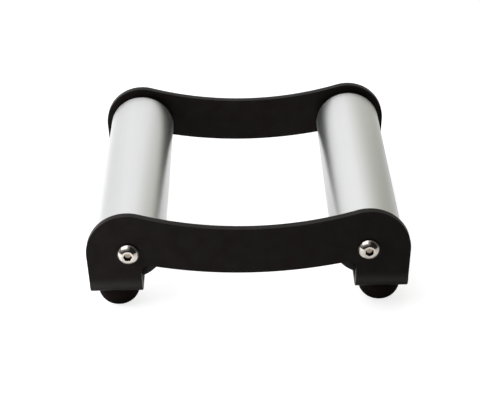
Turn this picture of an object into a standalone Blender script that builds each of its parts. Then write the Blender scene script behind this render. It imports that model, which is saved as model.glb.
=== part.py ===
"""Compact bike rollers: a stand whose two rollers carry one wheel of a bicycle.

Two bent steel side plates are clamped to the ends of two fixed axles by button-head bolts.
A roller turns on two ball bearings on each axle, and four rubber feet carry the plates.
Metres, +Z up. The origin is on the floor under the middle of the stand, +X runs along the
plates and +Y runs along the axles, away from the front plate.
"""

import math

import bmesh
import bpy
from mathutils import Matrix, Vector

# Stand
AXLE_SPACING = 0.150
INNER_WIDTH = 0.190
PLATE_THICKNESS = 0.005
LEG_DROP = 0.031
FIT = 0.0003

# Side plate outline, from the line through both axles
END_RADIUS = 0.0262
WAIST_TOP = 0.0156
BEAM_BOTTOM = 0.0152
BEAM_BOTTOM_RADIUS = 0.300
LEG_INNER_INSET = 0.0078
LEG_OUTER_REACH = 0.0252
NOTCH_RADIUS = 0.0045

# Bend and foot flange
BEND_INNER_RADIUS = 0.006
FLANGE_REACH = 0.040
FLANGE_CORNER_RADIUS = 0.006
FOOT_INSET = 0.0225

# Roller
ROLLER_RADIUS = 0.0225
TUBE_WALL = 0.002
TUBE_CHAMFER = 0.0004
END_GAP = 0.0035
CAP_FLANGE = 0.0015
CAP_RIM_STEP = 0.0002
CAP_CHAMFER = 0.0005
CAP_SHOULDER = 0.001
CAP_SHOULDER_LEDGE = 0.0022
CAP_BACK_WALL = 0.0025
CAP_AXLE_CLEARANCE = 0.0015

# Bearing
BEARING_BORE = 0.012
BEARING_DIAMETER = 0.028
BEARING_WIDTH = 0.008
RING_WALL = 0.00225
RACE_DEPTH = 0.00063
BALL_COUNT = 8
CAGE_THICKNESS = 0.0012
CAGE_WIDTH = 0.005
SEAL_THICKNESS = 0.0005
SEAL_INSET = 0.0002
SEAL_SEAT_STEP = 0.0007

# Snap ring
SNAP_INSET = 0.001
SNAP_THICKNESS = 0.0012
SNAP_GROOVE_DEPTH = 0.0009
SNAP_WIDTH = 0.0022
SNAP_LUG_WIDTH = 0.0034
SNAP_LUG_HOLE_RADIUS = 0.0008
SNAP_OPENING = math.radians(34)
SNAP_LUG_ANGLE = math.radians(17)

# Axle, spacer and bolt
AXLE_CHAMFER = 0.0005
SPACER_WALL = 0.002
BOLT_RADIUS = 0.004
BOLT_LENGTH = 0.020
BOLT_TIP_CHAMFER = 0.0008
BOLT_HOLE_CLEARANCE = 0.0005
THREAD_SPARE = 0.002
DRILL_SLOPE = math.radians(31)
HEAD_RADIUS = 0.007
HEAD_HEIGHT = 0.0044
HEAD_RIM = 0.0006
HEAD_FLAT_RADIUS = 0.0034
SOCKET_WIDTH = 0.005
SOCKET_DEPTH = 0.0029
SOCKET_TURNS = {"left": 0.0, "right": math.radians(30)}

# Foot
FOOT_RADIUS = 0.01375
FOOT_HEIGHT = 0.0155
FOOT_TREAD_RADIUS = 0.0035
FOOT_FULLNESS = 2.4
FOOT_TOP_CHAMFER = 0.0006
STUD_RADIUS = 0.003
STUD_PLATE_RADIUS = 0.009
STUD_PLATE_THICKNESS = 0.0015
STUD_SPARE = 0.0005
STUD_CHAMFER = 0.0005

# Facets round a full turn
TUBE_STEPS = 36
CAP_STEPS = 20
RING_STEPS = 14
PIN_STEPS = 14
STUD_STEPS = 12
FOOT_STEPS = 18
HOLE_STEPS = 14
LUG_HOLE_STEPS = 6
BALL_SEGMENTS = 6
BALL_RINGS = 4

# Facets along each arc
WAIST_STEPS = 7
END_STEPS = 14
BEAM_STEPS = 6
CORNER_STEPS = 3
BEND_STEPS = 5
DOME_STEPS = 5
HEAD_STEPS = 4
RACE_STEPS = 3
SNAP_OUTER_STEPS = 16
SNAP_INNER_STEPS = 12
LUG_STEPS = 2

# Limits of the mesh work
WELD_DISTANCE = 0.000001
FLAT_ANGLE = 0.001
SMOOTH_ANGLE = math.radians(38)

# Places that follow from the sizes
AXLE_HEIGHT = FOOT_HEIGHT + FIT + LEG_DROP
OUTER_FACE = INNER_WIDTH / 2 + PLATE_THICKNESS
INNER_FACE = INNER_WIDTH / 2
ROLLER_END = INNER_FACE - END_GAP
TUBE_END = ROLLER_END - CAP_FLANGE - FIT
GROOVE_OUTER_SIDE = ROLLER_END - SNAP_INSET
GROOVE_INNER_SIDE = GROOVE_OUTER_SIDE - SNAP_THICKNESS - 2 * FIT
BEARING_FACE = GROOVE_INNER_SIDE
BEARING_BACK = BEARING_FACE - BEARING_WIDTH
CAP_BACK_FACE = BEARING_BACK - FIT - CAP_SHOULDER
CAP_BACK = CAP_BACK_FACE - CAP_BACK_WALL
PLUG_RADIUS = ROLLER_RADIUS - TUBE_WALL - FIT
SEAT_RADIUS = BEARING_DIAMETER / 2 + FIT
GROOVE_RADIUS = SEAT_RADIUS + SNAP_GROOVE_DEPTH
PITCH_RADIUS = (BEARING_BORE + BEARING_DIAMETER) / 4
BALL_DIAMETER = (BEARING_DIAMETER - BEARING_BORE) / 2 - 2 * (RING_WALL - RACE_DEPTH)
RACE_GAP = BALL_DIAMETER / 2 + FIT
SHOULDER_REACH = BALL_DIAMETER / 2 - RACE_DEPTH
SEAL_SEAT_REACH = SHOULDER_REACH + SEAL_SEAT_STEP
SEAL_SEAT_DEPTH = SEAL_INSET + SEAL_THICKNESS + FIT
FOOT_X = (AXLE_SPACING + LEG_OUTER_REACH - LEG_INNER_INSET) / 2
FOOT_Y = OUTER_FACE - FOOT_INSET

SIDES = {"left": -AXLE_SPACING / 2, "right": AXLE_SPACING / 2}
ENDS = {"front": math.pi / 2, "rear": -math.pi / 2}


def clear_scene():
    """Remove the objects of the open scene."""
    for obj in list(bpy.data.objects):
        bpy.data.objects.remove(obj, do_unlink=True)


def collection(name):
    """A new collection in the scene."""
    group = bpy.data.collections.new(name)
    bpy.context.scene.collection.children.link(group)
    return group


def material(name, colour, roughness, metallic):
    """A Principled material with a plain colour."""
    finish = bpy.data.materials.new(name)
    finish.use_nodes = True
    shader = finish.node_tree.nodes["Principled BSDF"]
    shader.inputs["Base Color"].default_value = (*colour, 1)
    shader.inputs["Roughness"].default_value = roughness
    shader.inputs["Metallic"].default_value = metallic
    finish.diffuse_color = (*colour, 1)
    return finish


def add_object(name, mesh, group, finish=None):
    """An object of the mesh in a collection."""
    obj = bpy.data.objects.new(name, mesh)
    group.objects.link(obj)
    if finish and not mesh.materials:
        mesh.materials.append(finish)
    return obj


def baked_mesh(obj, name):
    """The object's evaluated mesh, shaded smooth with its corners kept, without the object."""
    depsgraph = bpy.context.evaluated_depsgraph_get()
    mesh = bpy.data.meshes.new_from_object(obj.evaluated_get(depsgraph))
    mesh.name = name
    bpy.data.objects.remove(obj, do_unlink=True)
    mesh.shade_smooth()
    mesh.set_sharp_from_angle(angle=SMOOTH_ANGLE)
    return mesh


def arc(centre, radius, start, end, steps):
    """Points on an arc from the start angle to the end angle, both included."""
    angles = [start + (end - start) * step / steps for step in range(steps + 1)]
    return [(centre[0] + radius * math.cos(angle), centre[1] + radius * math.sin(angle)) for angle in angles]


def turned_mesh(name, profile, steps, closed=True):
    """A turned mesh about Z. The profile holds (radius, height), top to bottom on its outer side."""
    count = len(profile)
    edges = [(index, index + 1) for index in range(count - 1)]
    if closed:
        edges.append((count - 1, 0))
    mesh = bpy.data.meshes.new(name)
    mesh.from_pydata([(radius, 0, height) for radius, height in profile], edges, [])
    obj = add_object(name, mesh, bpy.context.scene.collection)
    screw = obj.modifiers.new("turn", "SCREW")
    screw.axis = "Z"
    screw.steps = steps
    screw.render_steps = steps
    screw.use_merge_vertices = True
    screw.merge_threshold = WELD_DISTANCE
    return baked_mesh(obj, name)


def outline_mesh(name, loops, thickness):
    """A flat mesh in XY from closed outlines, the first the edge and the others its holes."""
    curve = bpy.data.curves.new(name, "CURVE")
    curve.dimensions = "2D"
    curve.fill_mode = "BOTH"
    curve.extrude = thickness / 2
    for loop in loops:
        spline = curve.splines.new("POLY")
        spline.points.add(len(loop) - 1)
        for point, (x, y) in zip(spline.points, loop):
            point.co = (x, y, 0, 1)
        spline.use_cyclic_u = True
    obj = bpy.data.objects.new(name, curve)
    bpy.context.scene.collection.objects.link(obj)
    mesh = baked_mesh(obj, name)
    weld(mesh)
    return mesh


def weld(mesh):
    """Join the loose rims of a filled curve to its walls."""
    work = bmesh.new()
    work.from_mesh(mesh)
    bmesh.ops.remove_doubles(work, verts=work.verts, dist=WELD_DISTANCE)
    bmesh.ops.recalc_face_normals(work, faces=work.faces)
    work.to_mesh(mesh)
    work.free()


def cutter(name, mesh, group, place=Matrix.Identity(4)):
    """A guide object for a Boolean, drawn as a wire."""
    obj = add_object(name, mesh, group)
    obj.matrix_world = place
    obj.hide_render = True
    obj.display_type = "WIRE"
    return obj


def cut(obj, tool, operation="DIFFERENCE"):
    """Cut the object by the tool, or join or trim it with the tool."""
    boolean = obj.modifiers.new(tool.name, "BOOLEAN")
    boolean.operation = operation
    boolean.solver = "EXACT"
    boolean.object = tool


def prism_mesh(name, sides, radius, bottom, top):
    """A straight prism about Z with a corner on +X."""
    work = bmesh.new()
    bmesh.ops.create_cone(
        work, cap_ends=True, segments=sides, radius1=radius, radius2=radius, depth=top - bottom,
        matrix=Matrix.Translation((0, 0, (top + bottom) / 2)))
    first_corner = Matrix.Rotation(math.pi / 2, 4, "Z")
    bmesh.ops.rotate(work, verts=work.verts, matrix=first_corner, cent=(0, 0, 0))
    mesh = bpy.data.meshes.new(name)
    work.to_mesh(mesh)
    work.free()
    return mesh


def plate_outline():
    """The unbent side plate as (x, height over the axles), right half and its mirror image."""
    end_x = AXLE_SPACING / 2
    end_centre = (end_x, 0)
    waist_radius = (end_x ** 2 + WAIST_TOP ** 2 - END_RADIUS ** 2) / (2 * (END_RADIUS - WAIST_TOP))
    waist_centre = (0, WAIST_TOP + waist_radius)
    waist_stop = math.atan2(-waist_centre[1], end_x)
    waist = arc(waist_centre, waist_radius, -math.pi / 2, waist_stop, WAIST_STEPS)

    corner = Vector((LEG_OUTER_REACH, -bend_start()))
    taper_angle = math.atan2(corner.y, corner.x) + math.acos(END_RADIUS / corner.length)
    end_round = arc(end_centre, END_RADIUS, waist_stop + math.pi, taper_angle, END_STEPS)

    outer_x = end_x + LEG_OUTER_REACH
    inner_x = end_x - LEG_INNER_INSET
    tip = -bend_start() - bend_length() - (FLANGE_REACH - bend_outer_radius())
    leg = [(outer_x, -bend_start())]
    inset = FLANGE_CORNER_RADIUS
    leg += arc((outer_x - inset, tip + inset), inset, 0, -math.pi / 2, CORNER_STEPS)
    leg += arc((inner_x + inset, tip + inset), inset, -math.pi / 2, -math.pi, CORNER_STEPS)

    beam_centre = (0, BEAM_BOTTOM_RADIUS - BEAM_BOTTOM)
    notch_x = inner_x - NOTCH_RADIUS
    notch_drop = math.sqrt((BEAM_BOTTOM_RADIUS + NOTCH_RADIUS) ** 2 - notch_x ** 2)
    notch_centre = (notch_x, beam_centre[1] - notch_drop)
    notch_angle = math.atan2(notch_drop, -notch_x)
    notch = arc(notch_centre, NOTCH_RADIUS, 0, notch_angle, CORNER_STEPS)
    beam = arc(beam_centre, BEAM_BOTTOM_RADIUS, notch_angle - math.pi, -math.pi / 2, BEAM_STEPS)

    right = waist + end_round[1:] + leg + notch + beam[1:]
    left = [(-x, height) for x, height in reversed(right[1:-1])]
    return right + left


def bend_outer_radius():
    """Outer radius of the bend between leg and flange."""
    return BEND_INNER_RADIUS + PLATE_THICKNESS


def bend_start():
    """Depth under the axles at which the bend begins."""
    return LEG_DROP - bend_outer_radius()


def bend_length():
    """Length of the bend along the middle of the sheet."""
    return (BEND_INNER_RADIUS + PLATE_THICKNESS / 2) * math.pi / 2


def bent(point, depth):
    """Where a point of the flat sheet lies after bending, as (x, distance inwards, height over the axles)."""
    x, height = point
    run = -bend_start() - height
    radius = bend_outer_radius() - depth
    if run <= 0:
        return x, depth, height
    if run >= bend_length():
        return x, bend_outer_radius() + run - bend_length(), -bend_start() - radius
    angle = run / bend_length() * math.pi / 2
    return x, bend_outer_radius() - radius * math.cos(angle), -bend_start() - radius * math.sin(angle)


def side_plate_mesh():
    """The front side plate: a flat blank with its holes, folded at the two legs."""
    hole_run = bend_length() + FOOT_INSET - bend_outer_radius()
    hole_height = -bend_start() - hole_run
    loops = [plate_outline()]
    for side in (-1, 1):
        bolt_place = (side * AXLE_SPACING / 2, 0)
        foot_place = (side * FOOT_X, hole_height)
        loops.append(arc(bolt_place, BOLT_RADIUS + BOLT_HOLE_CLEARANCE, 0, math.tau, HOLE_STEPS)[:-1])
        loops.append(arc(foot_place, STUD_RADIUS + FIT, 0, math.tau, HOLE_STEPS)[:-1])
    mesh = outline_mesh("side_plate", loops, PLATE_THICKNESS)

    work = bmesh.new()
    work.from_mesh(mesh)
    for step in range(BEND_STEPS + 1):
        fold = -bend_start() - bend_length() * step / BEND_STEPS
        bmesh.ops.bisect_plane(
            work, geom=work.verts[:] + work.edges[:] + work.faces[:], dist=WELD_DISTANCE,
            plane_co=(0, fold, 0), plane_no=(0, 1, 0))
    for vertex in work.verts:
        depth = PLATE_THICKNESS / 2 + vertex.co.z
        x, inwards, height = bent((vertex.co.x, vertex.co.y), depth)
        vertex.co = (x, inwards - OUTER_FACE, height + AXLE_HEIGHT)
    bmesh.ops.dissolve_limit(work, angle_limit=FLAT_ANGLE, verts=work.verts, edges=work.edges)
    bmesh.ops.recalc_face_normals(work, faces=work.faces)
    work.to_mesh(mesh)
    work.free()
    return mesh


def make_side_plates(group, finish):
    """Two plates of one shape, the rear one turned half round."""
    mesh = side_plate_mesh()
    for end, turn in (("front", 0), ("rear", math.pi)):
        plate = add_object(f"side_plate_{end}", mesh, group, finish)
        plate.rotation_euler.z = turn


def foot_curve(depth):
    """Radius of the dome at a depth under the foot's top."""
    share = 1 - (depth / FOOT_HEIGHT) ** FOOT_FULLNESS
    return FOOT_RADIUS * share ** (1 / FOOT_FULLNESS)


def foot_mesh():
    """The rubber dome, with the recess that holds the stud's plate."""
    waist = [(FOOT_RADIUS - FOOT_TOP_CHAMFER, FOOT_HEIGHT), (FOOT_RADIUS, FOOT_HEIGHT - FOOT_TOP_CHAMFER)]
    tread_share = FOOT_TREAD_RADIUS / FOOT_RADIUS
    lowest = FOOT_HEIGHT * (1 - tread_share ** FOOT_FULLNESS) ** (1 / FOOT_FULLNESS)
    dome = []
    for step in range(1, DOME_STEPS + 1):
        angle = math.asin(lowest / FOOT_HEIGHT) * step / DOME_STEPS
        depth = FOOT_HEIGHT * math.sin(angle)
        dome.append((foot_curve(depth), (FOOT_HEIGHT - FOOT_TOP_CHAMFER) * (1 - depth / lowest)))
    plate_floor = FOOT_HEIGHT - STUD_PLATE_THICKNESS - FIT
    recess = [
        (0, plate_floor),
        (STUD_PLATE_RADIUS + FIT, plate_floor),
        (STUD_PLATE_RADIUS + FIT, FOOT_HEIGHT)]
    return turned_mesh("foot", recess + waist + dome + [(0, 0)], FOOT_STEPS, closed=False)


def stud_mesh():
    """The stud: a round plate in the rubber, and a pin screwed through the flange."""
    plate_top = FOOT_HEIGHT
    plate_bottom = plate_top - STUD_PLATE_THICKNESS
    top = AXLE_HEIGHT - LEG_DROP + PLATE_THICKNESS + STUD_SPARE
    profile = [
        (0, top),
        (STUD_RADIUS - STUD_CHAMFER, top),
        (STUD_RADIUS, top - STUD_CHAMFER),
        (STUD_RADIUS, plate_top),
        (STUD_PLATE_RADIUS, plate_top),
        (STUD_PLATE_RADIUS, plate_bottom),
        (0, plate_bottom)]
    return turned_mesh("foot_stud", profile, STUD_STEPS, closed=False)


def ring_profile(inner, outer, bottom, top):
    """A plain rectangular ring section."""
    return [(outer, top), (outer, bottom), (inner, bottom), (inner, top)]


def make_feet(group, finishes):
    """A foot with its stud at each of the four flanges."""
    meshes = {"foot": foot_mesh(), "foot_stud": stud_mesh()}
    for end, y in (("front", -FOOT_Y), ("rear", FOOT_Y)):
        for side, direction in (("left", -1), ("right", 1)):
            for piece, mesh in meshes.items():
                obj = add_object(f"{piece}_{end}_{side}", mesh, group, finishes[piece])
                obj.location = (direction * FOOT_X, y, 0)


def tube_mesh():
    """The roller's tube, with its ends chamfered outside."""
    inner = ROLLER_RADIUS - TUBE_WALL
    shoulder = TUBE_END - TUBE_CHAMFER
    profile = [
        (ROLLER_RADIUS - TUBE_CHAMFER, TUBE_END),
        (ROLLER_RADIUS, shoulder),
        (ROLLER_RADIUS, -shoulder),
        (ROLLER_RADIUS - TUBE_CHAMFER, -TUBE_END),
        (inner, -TUBE_END),
        (inner, TUBE_END)]
    return turned_mesh("roller_tube", profile, TUBE_STEPS)


def cap_mesh():
    """The end cap: a rim over the tube's end, a plug inside it, and the bearing's seat.

    A shoulder stops the outer ring. A wall behind it closes the tube round the axle, set back
    so that it clears the inner ring, which stands still.
    """
    rim = ROLLER_RADIUS - CAP_RIM_STEP
    ledge = BEARING_DIAMETER / 2 - CAP_SHOULDER_LEDGE
    axle_hole = BEARING_BORE / 2 + CAP_AXLE_CLEARANCE
    rim_back = ROLLER_END - CAP_FLANGE
    profile = [
        (rim - CAP_CHAMFER, ROLLER_END),
        (rim, ROLLER_END - CAP_CHAMFER),
        (rim, rim_back),
        (PLUG_RADIUS, rim_back),
        (PLUG_RADIUS, CAP_BACK + CAP_CHAMFER),
        (PLUG_RADIUS - CAP_CHAMFER, CAP_BACK),
        (axle_hole, CAP_BACK),
        (axle_hole, CAP_BACK_FACE),
        (ledge, CAP_BACK_FACE),
        (ledge, BEARING_BACK - FIT),
        (SEAT_RADIUS, BEARING_BACK - FIT),
        (SEAT_RADIUS, GROOVE_INNER_SIDE),
        (GROOVE_RADIUS, GROOVE_INNER_SIDE),
        (GROOVE_RADIUS, GROOVE_OUTER_SIDE),
        (SEAT_RADIUS, GROOVE_OUTER_SIDE),
        (SEAT_RADIUS, ROLLER_END)]
    return turned_mesh("end_cap", profile, CAP_STEPS)


def race_profile(direction, flats=1.0):
    """A ring's side towards the balls, from the bearing's back to its face.

    A seal seat, a shoulder, the rounded race, and a shoulder and a seat again. The direction is
    1 on the outer ring and -1 on the inner one.
    """
    middle = (BEARING_FACE + BEARING_BACK) / 2
    seat_half = BEARING_WIDTH / 2 - SEAL_SEAT_DEPTH
    half_angle = math.acos(SHOULDER_REACH / RACE_GAP)
    race = arc((0, 0), RACE_GAP, -half_angle, half_angle, RACE_STEPS)
    side = [(SEAL_SEAT_REACH, -BEARING_WIDTH / 2), (SEAL_SEAT_REACH, -seat_half), (SHOULDER_REACH, -seat_half)]
    side += race + [(reach, -height) for reach, height in reversed(side)]
    return [(flats * (PITCH_RADIUS + direction * reach), middle + height) for reach, height in side]


def outer_ring_mesh():
    """The bearing's outer ring. Its race clears the balls at the middle of each facet too."""
    wall_radius = BEARING_DIAMETER / 2
    wall = [(wall_radius, BEARING_FACE), (wall_radius, BEARING_BACK)]
    flats = 1 / math.cos(math.pi / RING_STEPS)
    return turned_mesh("bearing_outer", wall + race_profile(1, flats), RING_STEPS)


def inner_ring_mesh():
    """The bearing's inner ring, with its race on the outside."""
    wall_radius = BEARING_BORE / 2
    wall = [(wall_radius, BEARING_BACK), (wall_radius, BEARING_FACE)]
    return turned_mesh("bearing_inner", race_profile(-1)[::-1] + wall, RING_STEPS)


def ball_cage_mesh(tools):
    """The balls, joined by the cage that spaces them."""
    middle = (BEARING_FACE + BEARING_BACK) / 2
    section = ring_profile(
        PITCH_RADIUS - CAGE_THICKNESS / 2, PITCH_RADIUS + CAGE_THICKNESS / 2,
        middle - CAGE_WIDTH / 2, middle + CAGE_WIDTH / 2)
    ring = turned_mesh("cage", section, 2 * BALL_COUNT)
    cage = add_object("cage", ring, bpy.context.scene.collection)
    work = bmesh.new()
    for index in range(BALL_COUNT):
        angle = math.tau * index / BALL_COUNT
        place = Matrix.Rotation(angle, 4, "Z") @ Matrix.Translation((PITCH_RADIUS, 0, middle))
        bmesh.ops.create_uvsphere(
            work, u_segments=BALL_SEGMENTS, v_segments=BALL_RINGS, radius=BALL_DIAMETER / 2, matrix=place)
    balls = bpy.data.meshes.new("balls")
    work.to_mesh(balls)
    work.free()
    cut(cage, cutter("balls", balls, tools), "UNION")
    return baked_mesh(cage, "bearing_balls")


def seal_mesh(name, bottom):
    """A flat seal in the seats of the bearing's rings."""
    inner = PITCH_RADIUS - SEAL_SEAT_REACH + FIT
    outer = PITCH_RADIUS + SEAL_SEAT_REACH - FIT
    return turned_mesh(name, ring_profile(inner, outer, bottom, bottom + SEAL_THICKNESS), RING_STEPS)


def snap_ring_mesh():
    """The snap ring: an open ring in the cap's groove, with a holed lug at each end."""
    outer = GROOVE_RADIUS - FIT
    inner = outer - SNAP_WIDTH
    lug = outer - SNAP_LUG_WIDTH
    half_gap = SNAP_OPENING / 2
    lug_end = half_gap + SNAP_LUG_ANGLE
    edge = arc((0, 0), outer, half_gap, math.tau - half_gap, SNAP_OUTER_STEPS)
    far_lug = arc((0, 0), lug, math.tau - half_gap, math.tau - lug_end, LUG_STEPS)
    inside = arc((0, 0), inner, math.tau - lug_end, lug_end, SNAP_INNER_STEPS)
    near_lug = arc((0, 0), lug, lug_end, half_gap, LUG_STEPS)
    loops = [edge + far_lug + inside + near_lug]
    hole_radius = (outer + lug) / 2
    for angle in (half_gap + SNAP_LUG_ANGLE / 2, -half_gap - SNAP_LUG_ANGLE / 2):
        place = (hole_radius * math.cos(angle), hole_radius * math.sin(angle))
        loops.append(arc(place, SNAP_LUG_HOLE_RADIUS, 0, math.tau, LUG_HOLE_STEPS)[:-1])
    mesh = outline_mesh("snap_ring", loops, SNAP_THICKNESS)
    middle = (GROOVE_OUTER_SIDE + GROOVE_INNER_SIDE) / 2
    mesh.transform(Matrix.Translation((0, 0, middle)))
    return mesh


def axle_mesh():
    """The fixed axle: a bar with a tapped hole at each end."""
    radius = BEARING_BORE / 2 - FIT
    end = INNER_FACE - FIT
    hole = BOLT_RADIUS + FIT
    hole_depth = bolt_tip() - THREAD_SPARE
    cone = hole_depth - hole * math.tan(DRILL_SLOPE)
    half = [(0, cone), (hole, hole_depth), (hole, end), (radius - AXLE_CHAMFER, end), (radius, end - AXLE_CHAMFER)]
    other = [(r, -height) for r, height in reversed(half)]
    return turned_mesh("axle", half + other, PIN_STEPS, closed=False)


def spacer_mesh():
    """The spacer between the bearing's inner ring and the plate."""
    inner = BEARING_BORE / 2
    section = ring_profile(inner, inner + SPACER_WALL, BEARING_FACE + FIT, INNER_FACE - FIT)
    return turned_mesh("axle_spacer", section, PIN_STEPS)


def bolt_tip():
    """Distance of the bolt's tip from the middle of the stand."""
    return OUTER_FACE + FIT - BOLT_LENGTH


def bolt_mesh(side, tools):
    """The button-head bolt, with its hexagon socket turned as on its side of the stand."""
    seat = OUTER_FACE + FIT
    crown = seat + HEAD_HEIGHT
    spread = HEAD_RADIUS ** 2 - HEAD_FLAT_RADIUS ** 2
    centre = ((HEAD_HEIGHT + HEAD_RIM) - spread / (HEAD_HEIGHT - HEAD_RIM)) / 2
    top = Vector((HEAD_FLAT_RADIUS, HEAD_HEIGHT - centre))
    rim = Vector((HEAD_RADIUS, HEAD_RIM - centre))
    dome = arc((0, seat + centre), rim.length, math.atan2(top.y, top.x), math.atan2(rim.y, rim.x), HEAD_STEPS)
    shank = [
        (HEAD_RADIUS, seat),
        (BOLT_RADIUS, seat),
        (BOLT_RADIUS, bolt_tip() + BOLT_TIP_CHAMFER),
        (BOLT_RADIUS - BOLT_TIP_CHAMFER, bolt_tip()),
        (0, bolt_tip())]
    name = f"axle_bolt_{side}"
    solid = turned_mesh(name, [(0, crown)] + dome + shank, PIN_STEPS, closed=False)
    bolt = add_object(name, solid, bpy.context.scene.collection)
    socket = prism_mesh("socket", 6, SOCKET_WIDTH / math.sqrt(3), crown - SOCKET_DEPTH, crown + FIT)
    place = Matrix.Rotation(SOCKET_TURNS[side], 4, "Z")
    cut(bolt, cutter(f"socket_{side}", socket, tools, place))
    return baked_mesh(bolt, name)


def make_roller_lines(group, tools, finishes):
    """On each side: the axle line with its fixed pieces, and the roller that turns about it."""
    turning = {
        "end_cap": cap_mesh(),
        "bearing_outer": outer_ring_mesh(),
        "snap_ring": snap_ring_mesh(),
        "bearing_seal_outer": seal_mesh("bearing_seal_outer", BEARING_FACE - SEAL_INSET - SEAL_THICKNESS),
        "bearing_seal_inner": seal_mesh("bearing_seal_inner", BEARING_BACK + SEAL_INSET)}
    rolling = {"bearing_balls": ball_cage_mesh(tools)}
    fixed = {"bearing_inner": inner_ring_mesh(), "axle_spacer": spacer_mesh()}
    tube = tube_mesh()
    axle = axle_mesh()
    for side, x in SIDES.items():
        pivot = bpy.data.objects.new(f"roller_axis_{side}", None)
        pivot.location = (x, 0, AXLE_HEIGHT)
        pivot.empty_display_size = ROLLER_RADIUS
        group.objects.link(pivot)
        end_meshes = {**turning, **rolling, **fixed, "axle_bolt": bolt_mesh(side, tools)}
        for piece, mesh in (("roller_tube", tube), ("axle", axle)):
            obj = add_object(f"{piece}_{side}", mesh, group, finishes[piece])
            obj.parent = pivot
            obj.rotation_euler.x = ENDS["front"]
        for end, turn in ENDS.items():
            for piece, mesh in end_meshes.items():
                obj = add_object(f"{piece}_{side}_{end}", mesh, group, finishes[piece])
                obj.parent = pivot
                obj.rotation_euler.x = turn


def make_finishes():
    """One material for each kind of piece."""
    return {
        "side_plate": material("powder_coat", (0.010, 0.009, 0.008), 0.55, 0.0),
        "roller_tube": material("satin_aluminium", (0.78, 0.79, 0.78), 0.30, 1.0),
        "end_cap": material("cap_plastic", (0.012, 0.012, 0.012), 0.50, 0.0),
        "bearing_outer": material("outer_ring_steel", (0.55, 0.56, 0.58), 0.22, 1.0),
        "bearing_inner": material("inner_ring_steel", (0.55, 0.56, 0.58), 0.22, 1.0),
        "bearing_balls": material("ball_steel", (0.60, 0.60, 0.62), 0.12, 1.0),
        "bearing_seal_outer": material("outer_seal_rubber", (0.015, 0.015, 0.016), 0.60, 0.0),
        "bearing_seal_inner": material("inner_seal_rubber", (0.015, 0.015, 0.016), 0.60, 0.0),
        "snap_ring": material("spring_steel", (0.10, 0.10, 0.11), 0.35, 1.0),
        "axle": material("axle_steel", (0.50, 0.50, 0.51), 0.30, 1.0),
        "axle_spacer": material("spacer_steel", (0.52, 0.52, 0.53), 0.35, 1.0),
        "axle_bolt": material("polished_stainless", (0.72, 0.70, 0.67), 0.12, 1.0),
        "foot": material("foot_rubber", (0.008, 0.008, 0.008), 0.70, 0.0),
        "foot_stud": material("stud_zinc", (0.60, 0.61, 0.62), 0.35, 1.0)}


def main():
    """Build the stand in its own collection, with the cutters in another."""
    clear_scene()
    group = collection("bike_rollers")
    tools = collection("cutters")
    finishes = make_finishes()
    make_side_plates(group, finishes["side_plate"])
    make_feet(group, finishes)
    make_roller_lines(group, tools, finishes)


main()
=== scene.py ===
"""Looks for the compact bike rollers: two satin aluminium rollers between folded black side plates."""

import math

import bmesh
import bpy
from bpy.props import FloatProperty, FloatVectorProperty, IntProperty, PointerProperty
from bpy.types import Operator, Panel, PropertyGroup
from mathutils import Matrix, Vector


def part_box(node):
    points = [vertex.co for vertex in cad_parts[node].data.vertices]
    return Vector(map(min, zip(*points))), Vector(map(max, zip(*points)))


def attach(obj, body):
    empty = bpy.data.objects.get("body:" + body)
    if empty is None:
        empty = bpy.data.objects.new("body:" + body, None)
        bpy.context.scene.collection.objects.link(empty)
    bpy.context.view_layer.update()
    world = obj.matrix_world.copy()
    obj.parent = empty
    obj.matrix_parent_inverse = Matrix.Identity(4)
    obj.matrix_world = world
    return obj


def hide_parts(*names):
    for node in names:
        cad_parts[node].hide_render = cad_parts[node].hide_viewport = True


bl_info = {
    "name": "Compact Bike Rollers",
    "version": (1, 0, 0),
    "blender": (4, 5, 0),
    "location": "3D View > Sidebar > Bike Rollers",
    "description": "Dresses a compact two-roller bicycle stand with fine meshes, finishes and a studio",
    "category": "Add Mesh",
}

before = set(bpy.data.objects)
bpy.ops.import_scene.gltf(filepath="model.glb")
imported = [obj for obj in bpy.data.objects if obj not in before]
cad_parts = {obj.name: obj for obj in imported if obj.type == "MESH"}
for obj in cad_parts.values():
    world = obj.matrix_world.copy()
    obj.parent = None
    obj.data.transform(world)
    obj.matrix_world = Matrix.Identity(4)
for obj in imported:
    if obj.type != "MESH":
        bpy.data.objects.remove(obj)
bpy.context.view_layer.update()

# Places read from the frame
PLATE_LOW, PLATE_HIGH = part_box("side_plate_front")
TUBE_LOW, TUBE_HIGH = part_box("roller_tube_right")
CAP_LOW, CAP_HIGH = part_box("end_cap_right_rear")
AXLE_LOW, AXLE_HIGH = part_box("axle_right")
SPACER_LOW, SPACER_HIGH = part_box("axle_spacer_right_rear")
RING_LOW, RING_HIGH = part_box("bearing_outer_right_rear")
SNAP_LOW, SNAP_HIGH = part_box("snap_ring_right_rear")
BOLT_LOW, BOLT_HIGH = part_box("axle_bolt_right_rear")
FOOT_LOW, FOOT_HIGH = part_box("foot_rear_right")
STUD_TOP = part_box("foot_stud_rear_right")[1].z

AXLE_X = (AXLE_LOW.x + AXLE_HIGH.x) / 2
AXLE_Z = (AXLE_LOW.z + AXLE_HIGH.z) / 2
OUTER_FACE = -PLATE_LOW.y
FOOT_X = (FOOT_LOW.x + FOOT_HIGH.x) / 2
FOOT_Y = (FOOT_LOW.y + FOOT_HIGH.y) / 2
RING_MIDDLE = (RING_HIGH.y + RING_LOW.y) / 2

SIDES = {"left": -1, "right": 1}
ENDS = {"front": -1, "rear": 1}

# The clearance between pieces that slide into each other
FIT = 0.0003

# Limits of the mesh work
WELD_DISTANCE = 0.000001
GROWN_WELD = 0.00001
FLAT_ANGLE = 0.001
SMOOTH_ANGLE = math.radians(32)

# How far a cutting tool reaches past the face that it cuts
OVERCUT = 0.00001


def number(name, description, default, **options):
    """A number that isn't below zero."""
    return FloatProperty(name=name, description=description, default=default, min=0, **options)


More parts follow.
